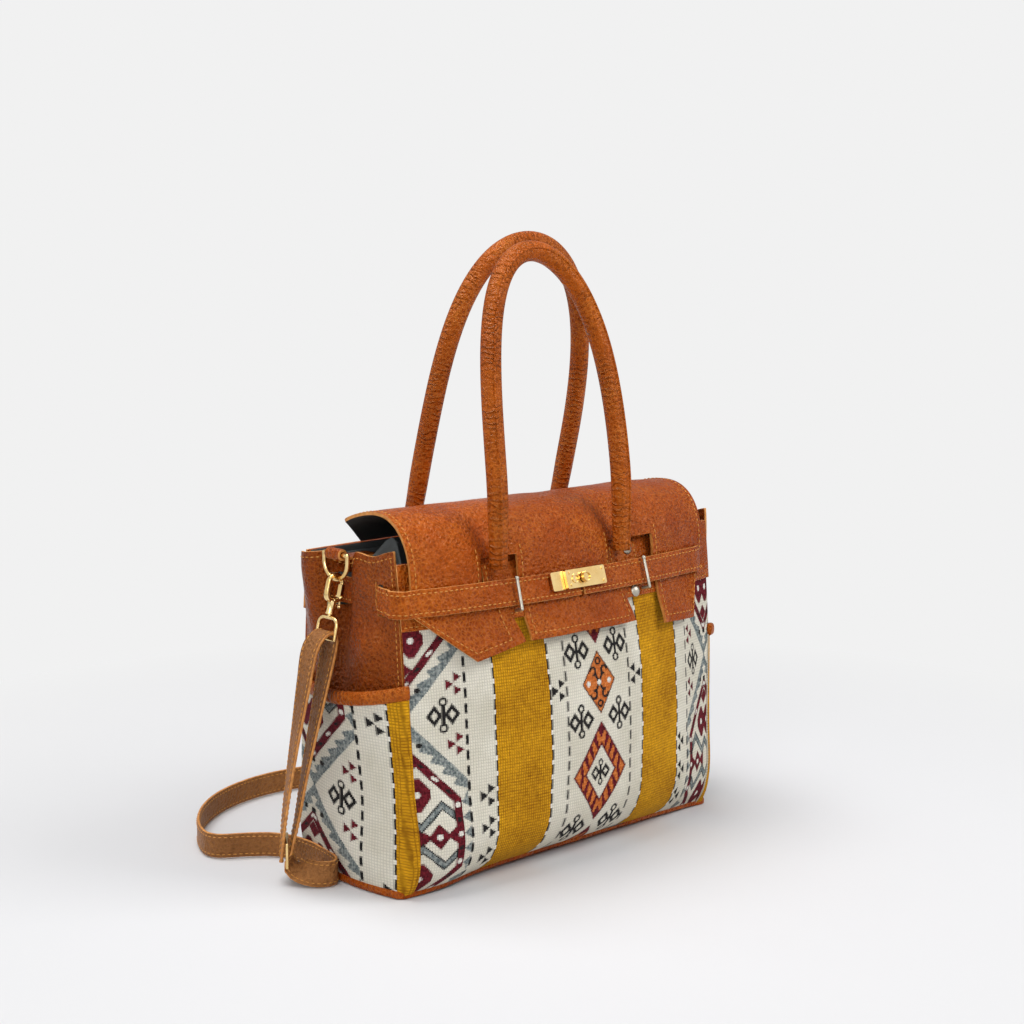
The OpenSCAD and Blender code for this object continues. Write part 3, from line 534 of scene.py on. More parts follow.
# Pebbles, scratches and slubs per metre, creases in radians per metre, shift and depth in metres
LEATHER_SHINE = (1.0, 0.58, 0.26, 1.0)
LEATHER_SPECULAR = 0.36
PEBBLES = 300.0
FINE_PEBBLES = 700.0
PEBBLE_SHIFT = 0.007
PEBBLE_DEPTH = 0.0018
CREASES = 1300.0
SCRATCHES = (60.0, 900.0, 900.0)
SLUBS = (700.0, 160.0)


def leather(name, light, mid, dark, line, gloss=0.24, crease=0.0):
    """Grained leather with a painted highlight in the line colour along the grain's ridges and painted
    shade in the pebbles' hollows; crease adds a rolled handle's cross wrinkles, with painted shade along
    them.
    """
    p = Paint(name)
    at = p.place("Object")
    warp = p.node("ShaderNodeTexNoise", {"Vector": at, "Scale": 60.0, "Detail": 1.0}).outputs["Color"]
    shift = p.stretch(warp, PEBBLE_SHIFT, PEBBLE_SHIFT, PEBBLE_SHIFT)
    bent = p.node("ShaderNodeVectorMath", {0: at, 1: shift}, operation="ADD").outputs[0]
    pebble = p.cells(bent, PEBBLES)
    fine = p.cells(bent, FINE_PEBBLES)
    patch = p.noise(at, 11.0, 3.0)
    spot = p.noise(at, 90.0, 3.0, 0.6)
    height = pebble * 0.8 + fine * 0.35
    # Painted highlight: the ridges between the pebbles, where the light catches, are marked to take the
    # paler line colour
    grain = p.cells(bent, PEBBLES, "DISTANCE_TO_EDGE").ramp(0.0, 0.16, 1.0, 0.0)
    grain = grain * p.noise(at, 26.0, 2.0).ramp(0.36, 0.62)
    # Painted shade: the low middles of the pebbles are marked to be painted darker
    hollow_shade = pebble.ramp(0.5, 0.1)
    if crease:
        _, along, _ = p.parts(p.place("UV"))
        wander = p.noise(at, 80.0, 3.0)
        ring = (along * CREASES + wander * 16.0).wave()
        fold = ring.ramp(0.2, 1.0) * p.noise(at, 40.0, 2.0).ramp(0.42, 0.62)
        height = height + fold * crease
        # Painted shade along the handle's creases too
        hollow_shade = hollow_shade.most(fold * 0.5)
    colour = p.mix(patch.ramp(0.3, 0.7), mid, light)
    colour = p.mix(spot.ramp(0.35, 0.7) * 0.5, colour, mid)
    # Painted shade in the hollows and creases, then the painted highlight along the ridges
    colour = p.mix(hollow_shade * 0.4, colour, dark)
    colour = p.mix(grain * 0.3, colour, line)
    rough = patch.ramp(0.2, 0.8, gloss + 0.08, gloss - 0.04) + pebble * 0.08
    shine = {"Specular_IOR_Level": LEATHER_SPECULAR, "Specular_Tint": LEATHER_SHINE}
    return p.finish(colour, rough, height, PEBBLE_DEPTH, 1.0, **shine)


def plain_weave(name, light, dark, pitch, rough=0.85):
    """A plain woven cloth, with painted shade in the low cells of its weave."""
    p = Paint(name)
    x, y, _ = p.parts(p.place("UV"))
    weave = (x * (2 * math.pi / pitch)).wave() * (y * (2 * math.pi / pitch)).wave()
    patch = p.noise(p.place("Object"), 40.0, 3.0)
    # Painted light and shade: the weave's high cells are painted lighter and its low cells darker, mixed
    # with patches of tone
    colour = p.mix(weave.ramp(-1.0, 1.0) * 0.6 + patch * 0.4, dark, light)
    return p.finish(colour, rough, weave, 0.0003, 0.6)


def metal(name, light, dark, rough):
    """Polished metal with faint scratches and clouding."""
    p = Paint(name)
    at = p.place("Object")
    cloud = p.noise(at, 60.0, 3.0)
    scratch = p.noise(p.stretch(at, *SCRATCHES), 1.0, 2.0)
    colour = p.mix(cloud.ramp(0.3, 0.7), dark, light)
    shine = cloud.ramp(0.3, 0.7, rough + 0.08, rough) + scratch * 0.06
    return p.finish(colour, shine, scratch, 0.00002, 0.1, Metallic=1.0)


def thread(name, light, dark):
    """Waxed sewing thread."""
    p = Paint(name)
    grain = p.noise(p.place("Object"), 700.0, 2.0)
    return p.finish(p.mix(grain, dark, light), 0.55, grain, 0.0002, 0.5)


def edge_paint(name, light, dark):
    """The cut edge of leather."""
    p = Paint(name)
    grain = p.noise(p.place("Object"), 260.0, 3.0)
    return p.finish(p.mix(grain.ramp(0.3, 0.7), dark, light), 0.55, grain, 0.0003, 0.4)


# The woven pattern's threads and places, in millimetres. Across is measured from the middle of the
# front's middle stripe, and the pattern is the same on both sides of it.
THREAD = 1.2
MIDDLE_X = 5.5
STRIPE = (52.0, 104.0)
DASHED = (35.5, 128.5)
DASH_PERIOD = 12.0
DASH_HALF = 3.75
BORDER_DASH_HALF = 4.32
CENTRE_HALF = 46.0
OUTER_FIELD = 122.0
FIELD_H = 141.0
SMALL_DIAMOND_H = 146.0
SMALL_DIAMOND = (18.7, 25.5)
LARGE_DIAMONDS_H = (72.0, 219.0, -18.0)
LARGE_DIAMOND = (30.0, 42.5)
MEDALLION_H = 92.0
MEDALLION_ACROSS = 178.0
BAND_ACROSS = 139.0
SAW_ACROSS = 130.0
LOZENGE_AT = (170.0, 33.0)
BOW_ACROSS = 156.0
SOFT = 0.35
CELL = (2.1, 2.4)


def distance(a, b):
    """Distance from a point at the offsets a and b."""
    return (a * a + b * b).power(0.5)


def flower(dx, dy):
    """Outline of a flower: two lozenge petals, a stem and a small ring above and below."""
    petal = (abs(abs(dx - 7.2) / 6.6 + dy / 8.2 - 0.72) - 0.29) * 5.0
    ring = abs(distance(dx, dy - 10.2) - 2.7) - 0.95
    stem = (dx - 1.5).most(dy - 7.5)
    return petal.least(ring).least(stem)


def triple(e, dy):
    """Three small triangles that point the same way, one before two."""
    first = (e * -1 - 7.0).most(dy - 4.2 + (e + 7.0) * 0.6)
    pair = (e * -1).most(abs(dy - 5.0) - 3.9 + e * 0.6)
    return first.least(pair)


def small_diamond(a, t):
    """The orange diamond: its filling, its outline with hooked arms, and its three dots."""
    dt = abs(t - SMALL_DIAMOND_H)
    share = a / SMALL_DIAMOND[0] + dt / SMALL_DIAMOND[1]
    hooks = abs(distance(a - 6.4, dt - 9.4) - 3.1) - 1.1
    hooks = hooks.most((a - 6.8).least(9.0 - dt))
    arms = (abs(a - dt * 0.6) - 1.3).most(dt - 7.5)
    tips = abs(distance(a, dt - 17.0) - 2.4) - 0.9
    outline = (abs(share - 0.97) - 0.035) * 15.0
    dots = distance(a.least(abs(a - 11.8)), dt) - 2.1
    return (share - 1.0) * 15.0, outline.least(hooks).least(tips).least(arms), dots


def large_diamond(a, t):
    """The hooked diamond: its band, the orange in the band, and the flower in its middle."""
    low, high, foot = (abs(t - middle) for middle in LARGE_DIAMONDS_H)
    dt = low.least(high).least(foot)
    across, up = a / LARGE_DIAMOND[0], dt / LARGE_DIAMOND[1]
    share = across + up
    band = (share - 1.0).most(0.53 - share) * 24.0
    tooth = ((across - up) * 2.9 + share * 0.9).fold(1.0) - 0.27 + (share - 0.77) * 0.5
    tip = 0.76 - across
    orange = tooth.least(tip).most(share - 0.93).most(0.6 - share) * 14.0
    return band, orange, flower(a * 1.25, dt * 1.25)


def medallion(a, q):
    """Half a medallion of the outer field: its grey, burgundy, black and white."""
    a = MEDALLION_ACROSS - abs(a - MEDALLION_ACROSS)
    g = a - (q - 26.0).most(0.0) / 1.07
    band = abs(g - BAND_ACROSS) - q.ramp(25.0, 27.0, 3.3, 4.3)
    beads = distance(g - BAND_ACROSS, q.fold(22.0)) - 2.1
    studs = abs(g - BAND_ACROSS).most((q - 11.0).fold(22.0)) - 1.7
    outside = SAW_ACROSS - a
    rail = (abs(g - 118.8) - 3.2).most(outside)
    saw = (120.5 - g).most(q.fold(9.5) - (SAW_ACROSS - g) * 0.62).most(outside)
    teeth = (129.0 - g).most(q.fold(12.0) - (136.0 - g) * 0.7).most(q - 30.0)
    zigzag = (abs(q - 23.5 + (a - 152.0).fold(34.0) * 0.92) - 3.6).most(142.0 - a)
    across, up = abs(a - LOZENGE_AT[0]), abs(q - LOZENGE_AT[1])
    lozenge = (across / 13.0 + up / 16.0 - 1.0) * 9.0
    lozenge = lozenge.most(across - 10.5).most(up - 13.0)
    d = abs(a - BOW_ACROSS)
    bow = (d - 16.0).most(q - 0.9 - (d - 6.0).most(0.0) * 0.72)
    knot = (d / 9.0 + q / 10.0 - 1.0) * 7.0
    scrap = (abs(a - MEDALLION_ACROSS) / 8.0 + abs(q - 55.0) / 7.0 - 1.0) * 5.0
    eyes = distance(abs(a - 172.0) - 5.0, q - 71.0) - 2.3
    dots = (distance(across, up) - 2.5).least(distance(d, q) - 2.3)
    outline = abs(zigzag + 0.5) - 0.75
    grey = rail.least(saw).least(teeth).least(zigzag)
    red = band.least(lozenge).least(bow).least(knot).least(scrap)
    return grey, red, outline.least(eyes).least(studs), beads.least(dots)


def woven(name):
    """The patterned cloth of the body and pockets."""
    p = Paint(name)
    u, v, _ = p.parts(p.place("UV"))
    x, t = u * 1000.0, v * 1000.0
    at = p.place("Object")
    fuzz = p.noise(at, 420.0, 2.0)
    drift = p.noise(at, 70.0, 2.0)
    warp = (x + drift * 1.6).fold(CELL[0]).ramp(0.1, 0.55)
    weft = (t + drift * 1.6).fold(CELL[1]).ramp(0.1, 0.6)
    weave = warp * weft
    x = (x + (fuzz - 0.5) * 0.9).snap(THREAD)
    t = (t + (fuzz - 0.5) * 0.9).snap(THREAD)
    a = abs(x - MIDDLE_X)
    s = abs(t - FIELD_H)
    centre = a.below(CENTRE_HALF)
    field = OUTER_FIELD - a

    stripe = abs(a - sum(STRIPE) / 2) - (STRIPE[1] - STRIPE[0]) / 2
    dash = t.fold(DASH_PERIOD)
    lines = (abs(a - DASHED[0]).least(abs(a - DASHED[1])) - 1.1).most(dash - DASH_HALF)
    border = abs(a - STRIPE[0]).least(abs(a - STRIPE[1])) - 0.95
    border_black = border.most(dash - BORDER_DASH_HALF)

    near = abs(abs(t - 145.5) - 28.0).least(abs(t - 26.0))
    dy = centre * near + (1.0 - centre) * s
    dx = centre * abs(a - 21.5) + (1.0 - centre) * abs(a - 147.0)
    flowers = flower(dx, dy)
    marks = triple(112.5 - a, (s - 67.0).fold(25.0)).most(54.0 - s)
    marks = marks.least(triple(43.5 - a, abs(t - SMALL_DIAMOND_H)))
    red_marks = triple(137.5 - a, abs(s - 23.0))

    grey, red, black, white = medallion(a, abs(s - MEDALLION_H))
    filling, hooks, dots = small_diamond(a, t)
    band, orange, heart = large_diamond(a, t)
    hooks = hooks.most(filling)
    dots = dots.most(filling)
    red = red.most(field).least(band).least(red_marks)
    orange = orange.least(filling)
    black = black.most(field).least(lines).least(border_black).least(flowers).least(marks)
    black = black.least(hooks).least(heart)
    white = white.most(field).least(border.most(BORDER_DASH_HALF - dash)).least(dots)

    cloud = p.noise(at, 30.0, 3.0)
    rows = p.noise(p.stretch(p.place("UV"), SLUBS[0], SLUBS[1], 1.0), 1.0, 2.0, 0.6)
    columns = p.noise(p.stretch(p.place("UV"), SLUBS[1], SLUBS[0], 1.0), 1.0, 2.0, 0.6)
    slub = rows * 0.5 + columns * 0.5
    # The mustard pile has painted shade in the gaps between the threads, besides its slubs and clouds of
    # tone
    pile = slub.ramp(0.34, 0.66) * 0.45 + weave * 0.25 + cloud.ramp(0.32, 0.66) * 0.3
    mustard = p.mix(pile, srgb(130, 74, 1), srgb(238, 176, 28))
    colour = p.mix(cloud.ramp(0.3, 0.7), srgb(218, 212, 194), srgb(236, 231, 216))
    colour = p.mix(stripe.inside(SOFT), colour, mustard)
    heather = p.mix(fuzz.ramp(0.38, 0.62), srgb(94, 104, 106), srgb(158, 164, 160))
    colour = p.mix(grey.most(field).inside(SOFT), colour, heather)
    wine = p.mix(fuzz.ramp(0.35, 0.65), srgb(74, 14, 24), srgb(118, 30, 42))
    rust = p.mix(fuzz.ramp(0.35, 0.65), srgb(190, 92, 34), srgb(222, 132, 68))
    ink, chalk = srgb(34, 32, 32), srgb(238, 234, 224)
    for shape, tint in ((red, wine), (orange, rust), (black, ink), (white, chalk)):
        colour = p.mix(shape.inside(SOFT), colour, tint)
    shade = weave.ramp(0.0, 1.0, 0.8, 1.0) * slub.ramp(0.3, 0.7, 0.9, 1.0)
    grey_shade = p.node("ShaderNodeCombineColor", {0: shade, 1: shade, 2: shade}).outputs[0]
    colour = p.mix(1.0, colour, grey_shade, "MULTIPLY")
    height = weave * 0.8 + slub * 0.5 + fuzz * 0.4
    return p.finish(colour, 0.9, height, 0.0006, 0.6, Specular_IOR_Level=0.15)


# The last colour of each leather is its painted highlight along the grain's ridges
LEATHER = leather("tan leather", srgb(172, 78, 10), srgb(136, 50, 4), srgb(84, 26, 2), srgb(214, 130, 46))
# Painted shade: the sides wear a darker copy of the tan leather, for the less light and sheen that reaches
# them
SHADED_SIDE_LEATHER = leather("shaded side leather", srgb(146, 64, 9), srgb(114, 42, 4), srgb(70, 22, 2),
                       srgb(192, 112, 40))
ROLLED = leather("rolled leather", srgb(182, 88, 16), srgb(148, 64, 10), srgb(88, 32, 5),
                 srgb(218, 140, 60), 0.29, 0.8)
STRAP = leather("strap leather", srgb(160, 106, 60), srgb(132, 86, 50), srgb(98, 60, 32),
                srgb(180, 126, 78), 0.42)
EDGE = edge_paint("cut edge", srgb(220, 152, 76), srgb(176, 108, 46))
THREAD_TAN = thread("sewing thread", srgb(222, 158, 72), srgb(186, 120, 46))
KILIM = woven("patterned cloth")
HEM = plain_weave("cloth edge", srgb(214, 205, 188), srgb(168, 158, 140), 0.0025)
LINING = plain_weave("lining", srgb(112, 117, 117), srgb(46, 48, 49), 0.0012)
BRASS = metal("pale brass", srgb(248, 218, 156), srgb(216, 178, 112), 0.12)
NICKEL = metal("nickel", srgb(206, 200, 186), srgb(160, 154, 140), 0.34)


# Cloth front and back
PUFF = 0.008
PUFF_H = 0.036
PUFF_SPREAD = 0.032
CORNER_SAG = 0.009
CORNER_X = -0.148
CORNER_SPREAD = 0.045
CORNER_H = 0.11
CORNER_RUN = 0.09
TUCK = 0.009
TUCK_H = 0.019
RIPPLE = 0.0011
RIPPLES = 26
RIPPLE_H = 0.2
RIPPLE_RUN = 0.05
RIGHT_FIELD_X = 0.109
RIGHT_FIELD_SCALE = 0.68


def puff(x, z):
    """How far the filled cloth hangs out over the base, and tucks in under itself."""
    edge = 1 - 0.5 * (abs(x) / HALF_W) ** 8
    corner = bump(x, CORNER_X, CORNER_SPREAD) * ease((CORNER_H - z) / CORNER_RUN)
    out = PUFF * bump(z, PUFF_H, PUFF_SPREAD) + CORNER_SAG * corner
    tuck = TUCK * max(0.0, 1 - (z - foot_z(x)) / TUCK_H) ** 2
    ripple = RIPPLE * wobble(x, 0, z, RIPPLES) * ease((RIPPLE_H - z) / RIPPLE_RUN)
    return edge * (out - tuck + ripple)


def cloth(sign, rim_h):
    """The surface of the front cloth, where sign is -1, or of the back cloth."""
    def place(u, v):
        x = sign * HALF_W * (1 - 2 * u)
        z = foot_z(x) + (rim_h - foot_z(x)) * v
        return Vector((x, sign * (face_y(x, z) + puff(x, z)), z))
    return place


front_cloth = cloth(-1, FRONT_RIM_H)
back_cloth = cloth(1, BACK_RIM_H)


def front_cut(u, v):
    """The pattern's place on the front, drawn closer together beyond the right stripe."""
    at = front_cloth(u, v)
    x = at.x
    if x > RIGHT_FIELD_X:
        x = RIGHT_FIELD_X + (x - RIGHT_FIELD_X) / RIGHT_FIELD_SCALE
    return x, at.z


def back_cut(u, v):
    """The pattern's place on the back."""
    at = back_cloth(u, v)
    return -at.x, at.z


cloth_front = add("cloth_front", grid(130, 100, front_cloth, front_cut),
                  [KILIM, LINING, LEATHER], ["front_panel"], CLOTH_T)
cloth_back = add("cloth_back", grid(130, 100, back_cloth, back_cut),
                 [KILIM, LINING, LEATHER], ["back_panel"], CLOTH_T)

# Leather yokes over the top of the cloth
YOKE_EDGE = 0.0005
seams = bmesh.new()


def yoke(sign, rim_h):
    """The surface of the front yoke, where sign is -1, or of the back yoke."""
    def place(u, v):
        x = sign * YOKE_HALF_W * (1 - 2 * u)
        z = YOKE_H + (rim_h - YOKE_H) * v
        return Vector((x, sign * (face_y(x, z) + YOKE_OUT), z))
    return place


for name, sign, rim_h in (("front_yoke", -1, FRONT_RIM_H), ("back_yoke", 1, BACK_RIM_H)):
    place = yoke(sign, rim_h)
    bm = grid(100, 16, place)
    add("leather_" + name, bm, [LEATHER, EDGE], [name], LEATHER_T, YOKE_EDGE)
    sew(seams, place, [(u, 0.06) for u in span(0.01, 0.99, 120)])

# Leather sides, folded in behind their middle, with slits that the belt passes
SLIT_Z = (0.2165, 0.2415)
LEFT_SLITS_Y = ((-0.0425, -0.0345), (-0.0012, 0.0076), (0.0164, 0.0252))
RIGHT_SLITS_Y = LEFT_SLITS_Y[1:]
BACK_LOBE = 0.009
LOW_LOBE = 0.0055
RIM_HOLLOW = 0.003
SIDE_RIPPLE = 0.0014
FLARE = 0.008
FLARE_Y = 0.025
FLARE_RUN = 0.028
FRONT_DIP = 0.004
SIDE_EDGE = 0.0006


def lobes(y, z, front, back):
    """How far the folds of a side's leather stand out; front and back flare its seams above the belt."""
    free = 1 - min(1.0, abs(y) / half_d(z)) ** 6
    back_lobe = BACK_LOBE * bump(y, 0.040, 0.017) * ease((z - 0.16) / 0.05)
    low = LOW_LOBE * bump(y, -0.026, 0.018) * bump(z, 0.188, 0.017)
    hollow = RIM_HOLLOW * bump(y, -0.025, 0.020) * bump(z, 0.214, 0.010)
    ripple = SIDE_RIPPLE * wobble(0.5, y, z, 34)
    flare = front * ease((-y - FLARE_Y) / FLARE_RUN) + back * ease((y - FLARE_Y) / FLARE_RUN)
    return free * (back_lobe + low - hollow + ripple) + flare * ease((z - 0.19) / 0.072)


def side_leather(front, back):
    """The surface of the left side's leather."""
    def place(u, v):
        z = FOOT_H + (RIM_H - FOOT_H) * v
        y = (1 - 2 * u) * (half_d(z) - CLOTH_T)
        dip = FRONT_DIP * bump(y, -0.031, 0.013)
        rise = (rim_z(y) - RIM_H - dip) * ease((z - 0.23) / 0.032)
        return Vector((-side_x(y, z) - lobes(y, z, front, back), y, z + rise))
    return place


def uncut(place, slits):
    """Keeps the faces outside a side's slits."""
    def keep(u, v):
        at = place(u, v)
        if not SLIT_Z[0] < at.z < SLIT_Z[1]:
            return True
        return not any(a < at.y < b for a, b in slits)
    return keep


for side, flare, slits in (("left", (0.0, FLARE), LEFT_SLITS_Y), ("right", (FLARE, 0.0), RIGHT_SLITS_Y)):
    place = side_leather(*flare)
    bm = grid(100, 120, place, keep=uncut(place, slits))
    rim_row = bmesh.new()
    sew(rim_row, place, [(u, 0.982) for u in span(0.02, 0.98, 150)])
    sew(rim_row, place, [(0.972, v) for v in span(0.62, 0.982, 60)])
    to_side(side, bm, rim_row)
    # The sides' leather carries painted shade
    add(side + "_side", bm, [SHADED_SIDE_LEATHER, EDGE], [side + "_gusset"], CLOTH_T, SIDE_EDGE)
    join(seams, rim_row)

# Cloth pockets on the sides, with a rolled leather binding on the mouth
SIDE_CUT_X = -0.0985
SIDE_CUT_SCALE = 1.35
SIDE_CUT_RISE = 0.073
SIDE_STRIPE = (0.011, 0.017)
WRAP = 0.002
WRAP_LOW = 0.004
WRAP_OUT = 0.0014
SIDE_SHARE = 0.92
BACK_BLEND = 0.8
POCKET_FULL = 0.004
POCKET_FULL_H = 0.03
POCKET_RIPPLE = 0.0008
ROLL_OUT = 0.001
ROLL_HALF = (0.0054, 0.0032)


def margin(z):
    """Width of the pocket's front margin, which is sewn on round the corner."""
    return WRAP + WRAP_LOW * (1 - z / POCKET_H)


def on_front(k, z, out, hand):
    """A point of the pocket's front margin; hand is 1 for the left pocket and -1 for the right."""
    x = -HALF_W + margin(z) * k
    return Vector((x, -face_y(hand * x, z) - puff(hand * x, z) - out, z))


def pocket(u, v, hand=1):
    """A point of the left pocket, or of the right one before it is mirrored."""
    if u > SIDE_SHARE:
        z = FOOT_H + (POCKET_H - FOOT_H) * v
        return on_front((u - SIDE_SHARE) / (1 - SIDE_SHARE), z, WRAP_OUT, hand)
    share = 1 - 2 * u / SIDE_SHARE
    y0 = share * half_d(POCKET_H)
    z = FOOT_H + (mouth_z(y0) - FOOT_H) * v
    y = share * half_d(z)
    low = POCKET_FULL * bump(z, POCKET_FULL_H, POCKET_FULL_H)
    ripple = POCKET_RIPPLE * wobble(0, y, z, 30)
    x = -pocket_x(y, z) + (ripple - low) * side_bow(y, z)
    to_back = face_y(-hand * HALF_W, z) + puff(-hand * HALF_W, z) - half_d(z)
    return Vector((x, y + to_back * ease((share - BACK_BLEND) / (1 - BACK_BLEND)), z))


def pocket_cut(u, v):
    """The pattern's place, counted from the pocket's front edge, where a part of a stripe shows."""
    at = pocket(u, v)
    if u > SIDE_SHARE:
        run = margin(at.z) * (1 - u) / (1 - SIDE_SHARE)
    else:
        run = margin(at.z) + at.y + half_d(at.z)
    stripe = SIDE_STRIPE[0] + (SIDE_STRIPE[1] - SIDE_STRIPE[0]) * at.z / POCKET_H
    return SIDE_CUT_X - (run - stripe) / SIDE_CUT_SCALE, at.z + SIDE_CUT_RISE


def binding_path(hand):
    """The middle line of the roll on a pocket's mouth and its front margin."""
    path = []
    for share in span(1, -1, 60):
        y0 = share * half_d(POCKET_H)
        z = mouth_z(y0)
        y = share * half_d(z)
        path.append(Vector((-pocket_x(y, z) + CLOTH_T - 0.8 * BINDING_R, y, z + LAY + BINDING_R)))
    for k in span(0.25, 1, 6):
        path.append(on_front(k, POCKET_H + LAY + BINDING_R, ROLL_OUT, hand))
    return path


for side, hand in (("left", 1), ("right", -1)):
    bm = grid(75, 80, lambda u, v: pocket(u, v, hand), pocket_cut)
    roll = sweep(binding_path(hand), lambda i: UP, lambda i: ROLL_HALF, 2.6, 20)
    to_side(side, bm, roll)
    bag = add("cloth_" + side + "_pocket", bm, [KILIM, HEM], [side + "_pocket"], CLOTH_T)
    add(side + "_binding", roll, [ROLLED], [side + "_pocket_binding"])

# A leather edge runs round the foot of the cloth
TRIM_HALF = (0.003, 0.0014)
TRIM_OUT = 0.0008
TRIM_RISE = 0.001
TRIM_SIDE_OUT = 0.0022
TRIM_SIDE_Y = 0.058
TRIM_SIDE_H = 0.004


def foot_run(sign):
    """The edge's middle line along the front, where sign is -1, or along the back."""
    path = []
    for x in span(sign * HALF_W, -sign * HALF_W, 70):
        z = foot_z(x)
        path.append(Vector((x, sign * (face_y(x, z) + puff(x, z) + TRIM_OUT), z + TRIM_RISE)))
    return path


def foot_side(sign):
    """The edge's middle line round the right side, where sign is 1, or round the left."""
    path = []
    for y in span(-sign * TRIM_SIDE_Y, sign * TRIM_SIDE_Y, 30):
        out = pocket_x(y, TRIM_SIDE_H) + TRIM_SIDE_OUT * side_bow(y, TRIM_SIDE_H)
        path.append(Vector((sign * out, y, FOOT_H + TRIM_RISE)))
    return path


foot_path = foot_run(-1) + foot_side(1) + foot_run(1) + foot_side(-1)
foot_path.append(foot_path[0].copy())
trim = sweep(foot_path, lambda i: UP, lambda i: TRIM_HALF, 3.0, 14)
add("base_edge", trim, [LEATHER])

# Dark lining, an open bag inside the body
LINING_X = 0.16345
LINING_OFF = 0.0043
LINING_FOOT = 0.007
LINING_TOP = 0.250
LINING_T = 0.0012
LINING_GAP = 0.0031
LINING_CUT = (0.93, 0.25)
LOOSE = 0.024
LOOSE_DRAW = 0.4
LINING_RUNS = ((34, "front"), (18, "right"), (34, "back"), (18, "left"))
LINING_COLUMNS = sum(count for count, name in LINING_RUNS)


def lining(u, v):
    """The lining's surface, loose at the left end of the mouth."""
    z = LINING_FOOT + (LINING_TOP - LINING_FOOT) * v
    i = round(u * LINING_COLUMNS) % LINING_COLUMNS
    for count, name in LINING_RUNS:
        if i < count:
            break
        i -= count
    share = 2 * i / count - 1
    corner = face_y(LINING_X, z) - LINING_OFF
    if name in ("front", "back"):
        sign = -1 if name == "front" else 1
        x = -sign * share * LINING_X
        return Vector((x, sign * (face_y(x, z) - LINING_OFF), z))
    sign = 1 if name == "right" else -1
    y = sign * share * corner
    x = min(LINING_X, side_x(y, z) - CLOTH_T - LINING_GAP)
    loose = LOOSE * bump(y, -0.030, 0.016) * ease((z - 0.19) / 0.06) if name == "left" else 0.0
    return Vector((sign * (x - LOOSE_DRAW * loose), y, z + loose))


bm = grid(LINING_COLUMNS, 50, lining, lambda u, v: (u * LINING_CUT[0], v * LINING_CUT[1]))
bmesh.ops.remove_doubles(bm, verts=bm.verts, dist=TINY)
foot = [e for e in bm.edges if e.is_boundary and e.verts[0].co.z < LINING_FOOT + TINY]
bmesh.ops.holes_fill(bm, edges=foot, sides=0)
bmesh.ops.recalc_face_normals(bm, faces=bm.faces)
inner = add("lining_bag", bm, [LINING], ["lining"], LINING_T)

# The flap springs from the back rim, arches over the mouth and hangs over the front in three tongues
FLAP_W = 0.330
FLAP_NECK_W = 0.234
FLAP_FOOT_H = 0.2375
FLAP_BACK_H = 0.2563
FLAP_BACK_RISE = 0.036
FLAP_FRONT_RISE = 0.082
FLAP_REACH = 0.043
FLAP_TRIM = 0.009
FLAP_TRIM_X = 0.115
FLAP_TRIM_RUN = 0.05
FLAP_EDGE = 0.0007
FLAP_RIPPLE = 0.0016
NECK_SHARE = 0.27
LEG_DENT = 0.0065
LEG_SPREAD = 0.014
UNDER_BELT = 0.0022
CURL = 0.0022
CURL_FROM = 0.55
SLIDE_AT_BELT = 0.48
SLOT_T = 0.905
LEGS_X = (-0.088, 0.044)
SLOTS = ((-0.100, -0.067), (0.035, 0.086))

# By column: the height of the tongues' lower edges, how far they slide to the right, and the number of
# columns up to the next break
TONGUE_EDGE = ((-0.165, 0.219), (-0.116, 0.181), (-0.100, 0.191), (-0.067, 0.191), (0.035, 0.191),
               (0.086, 0.183), (0.135, 0.181), (0.148, 0.217), (0.165, 0.219))
TONGUE_SLIDE = ((-0.116, 0.0), (-0.100, 0.029), (-0.067, 0.002), (0.035, 0.014), (0.086, 0.003),
                (0.135, 0.0))
FLAP_BREAKS = ((-0.165, 14), (-0.116, 5), (-0.100, 9), (-0.067, 28), (0.035, 14), (0.086, 14), (0.135, 5),
               (0.148, 5), (0.165, 0))

ARCH_SHARE = 0.68
FLAP_ROWS = 100
flap_columns = []
for (x0, count), (x1, _) in zip(FLAP_BREAKS, FLAP_BREAKS[1:]):
    flap_columns += [x0 + (x1 - x0) * i / count for i in range(count)]
flap_columns.append(FLAP_BREAKS[-1][0])


def leg_dent(w):
    """How far the flap is pressed in under the front handle's legs."""
    return LEG_DENT * max(bump(w, leg, LEG_SPREAD) for leg in LEGS_X)


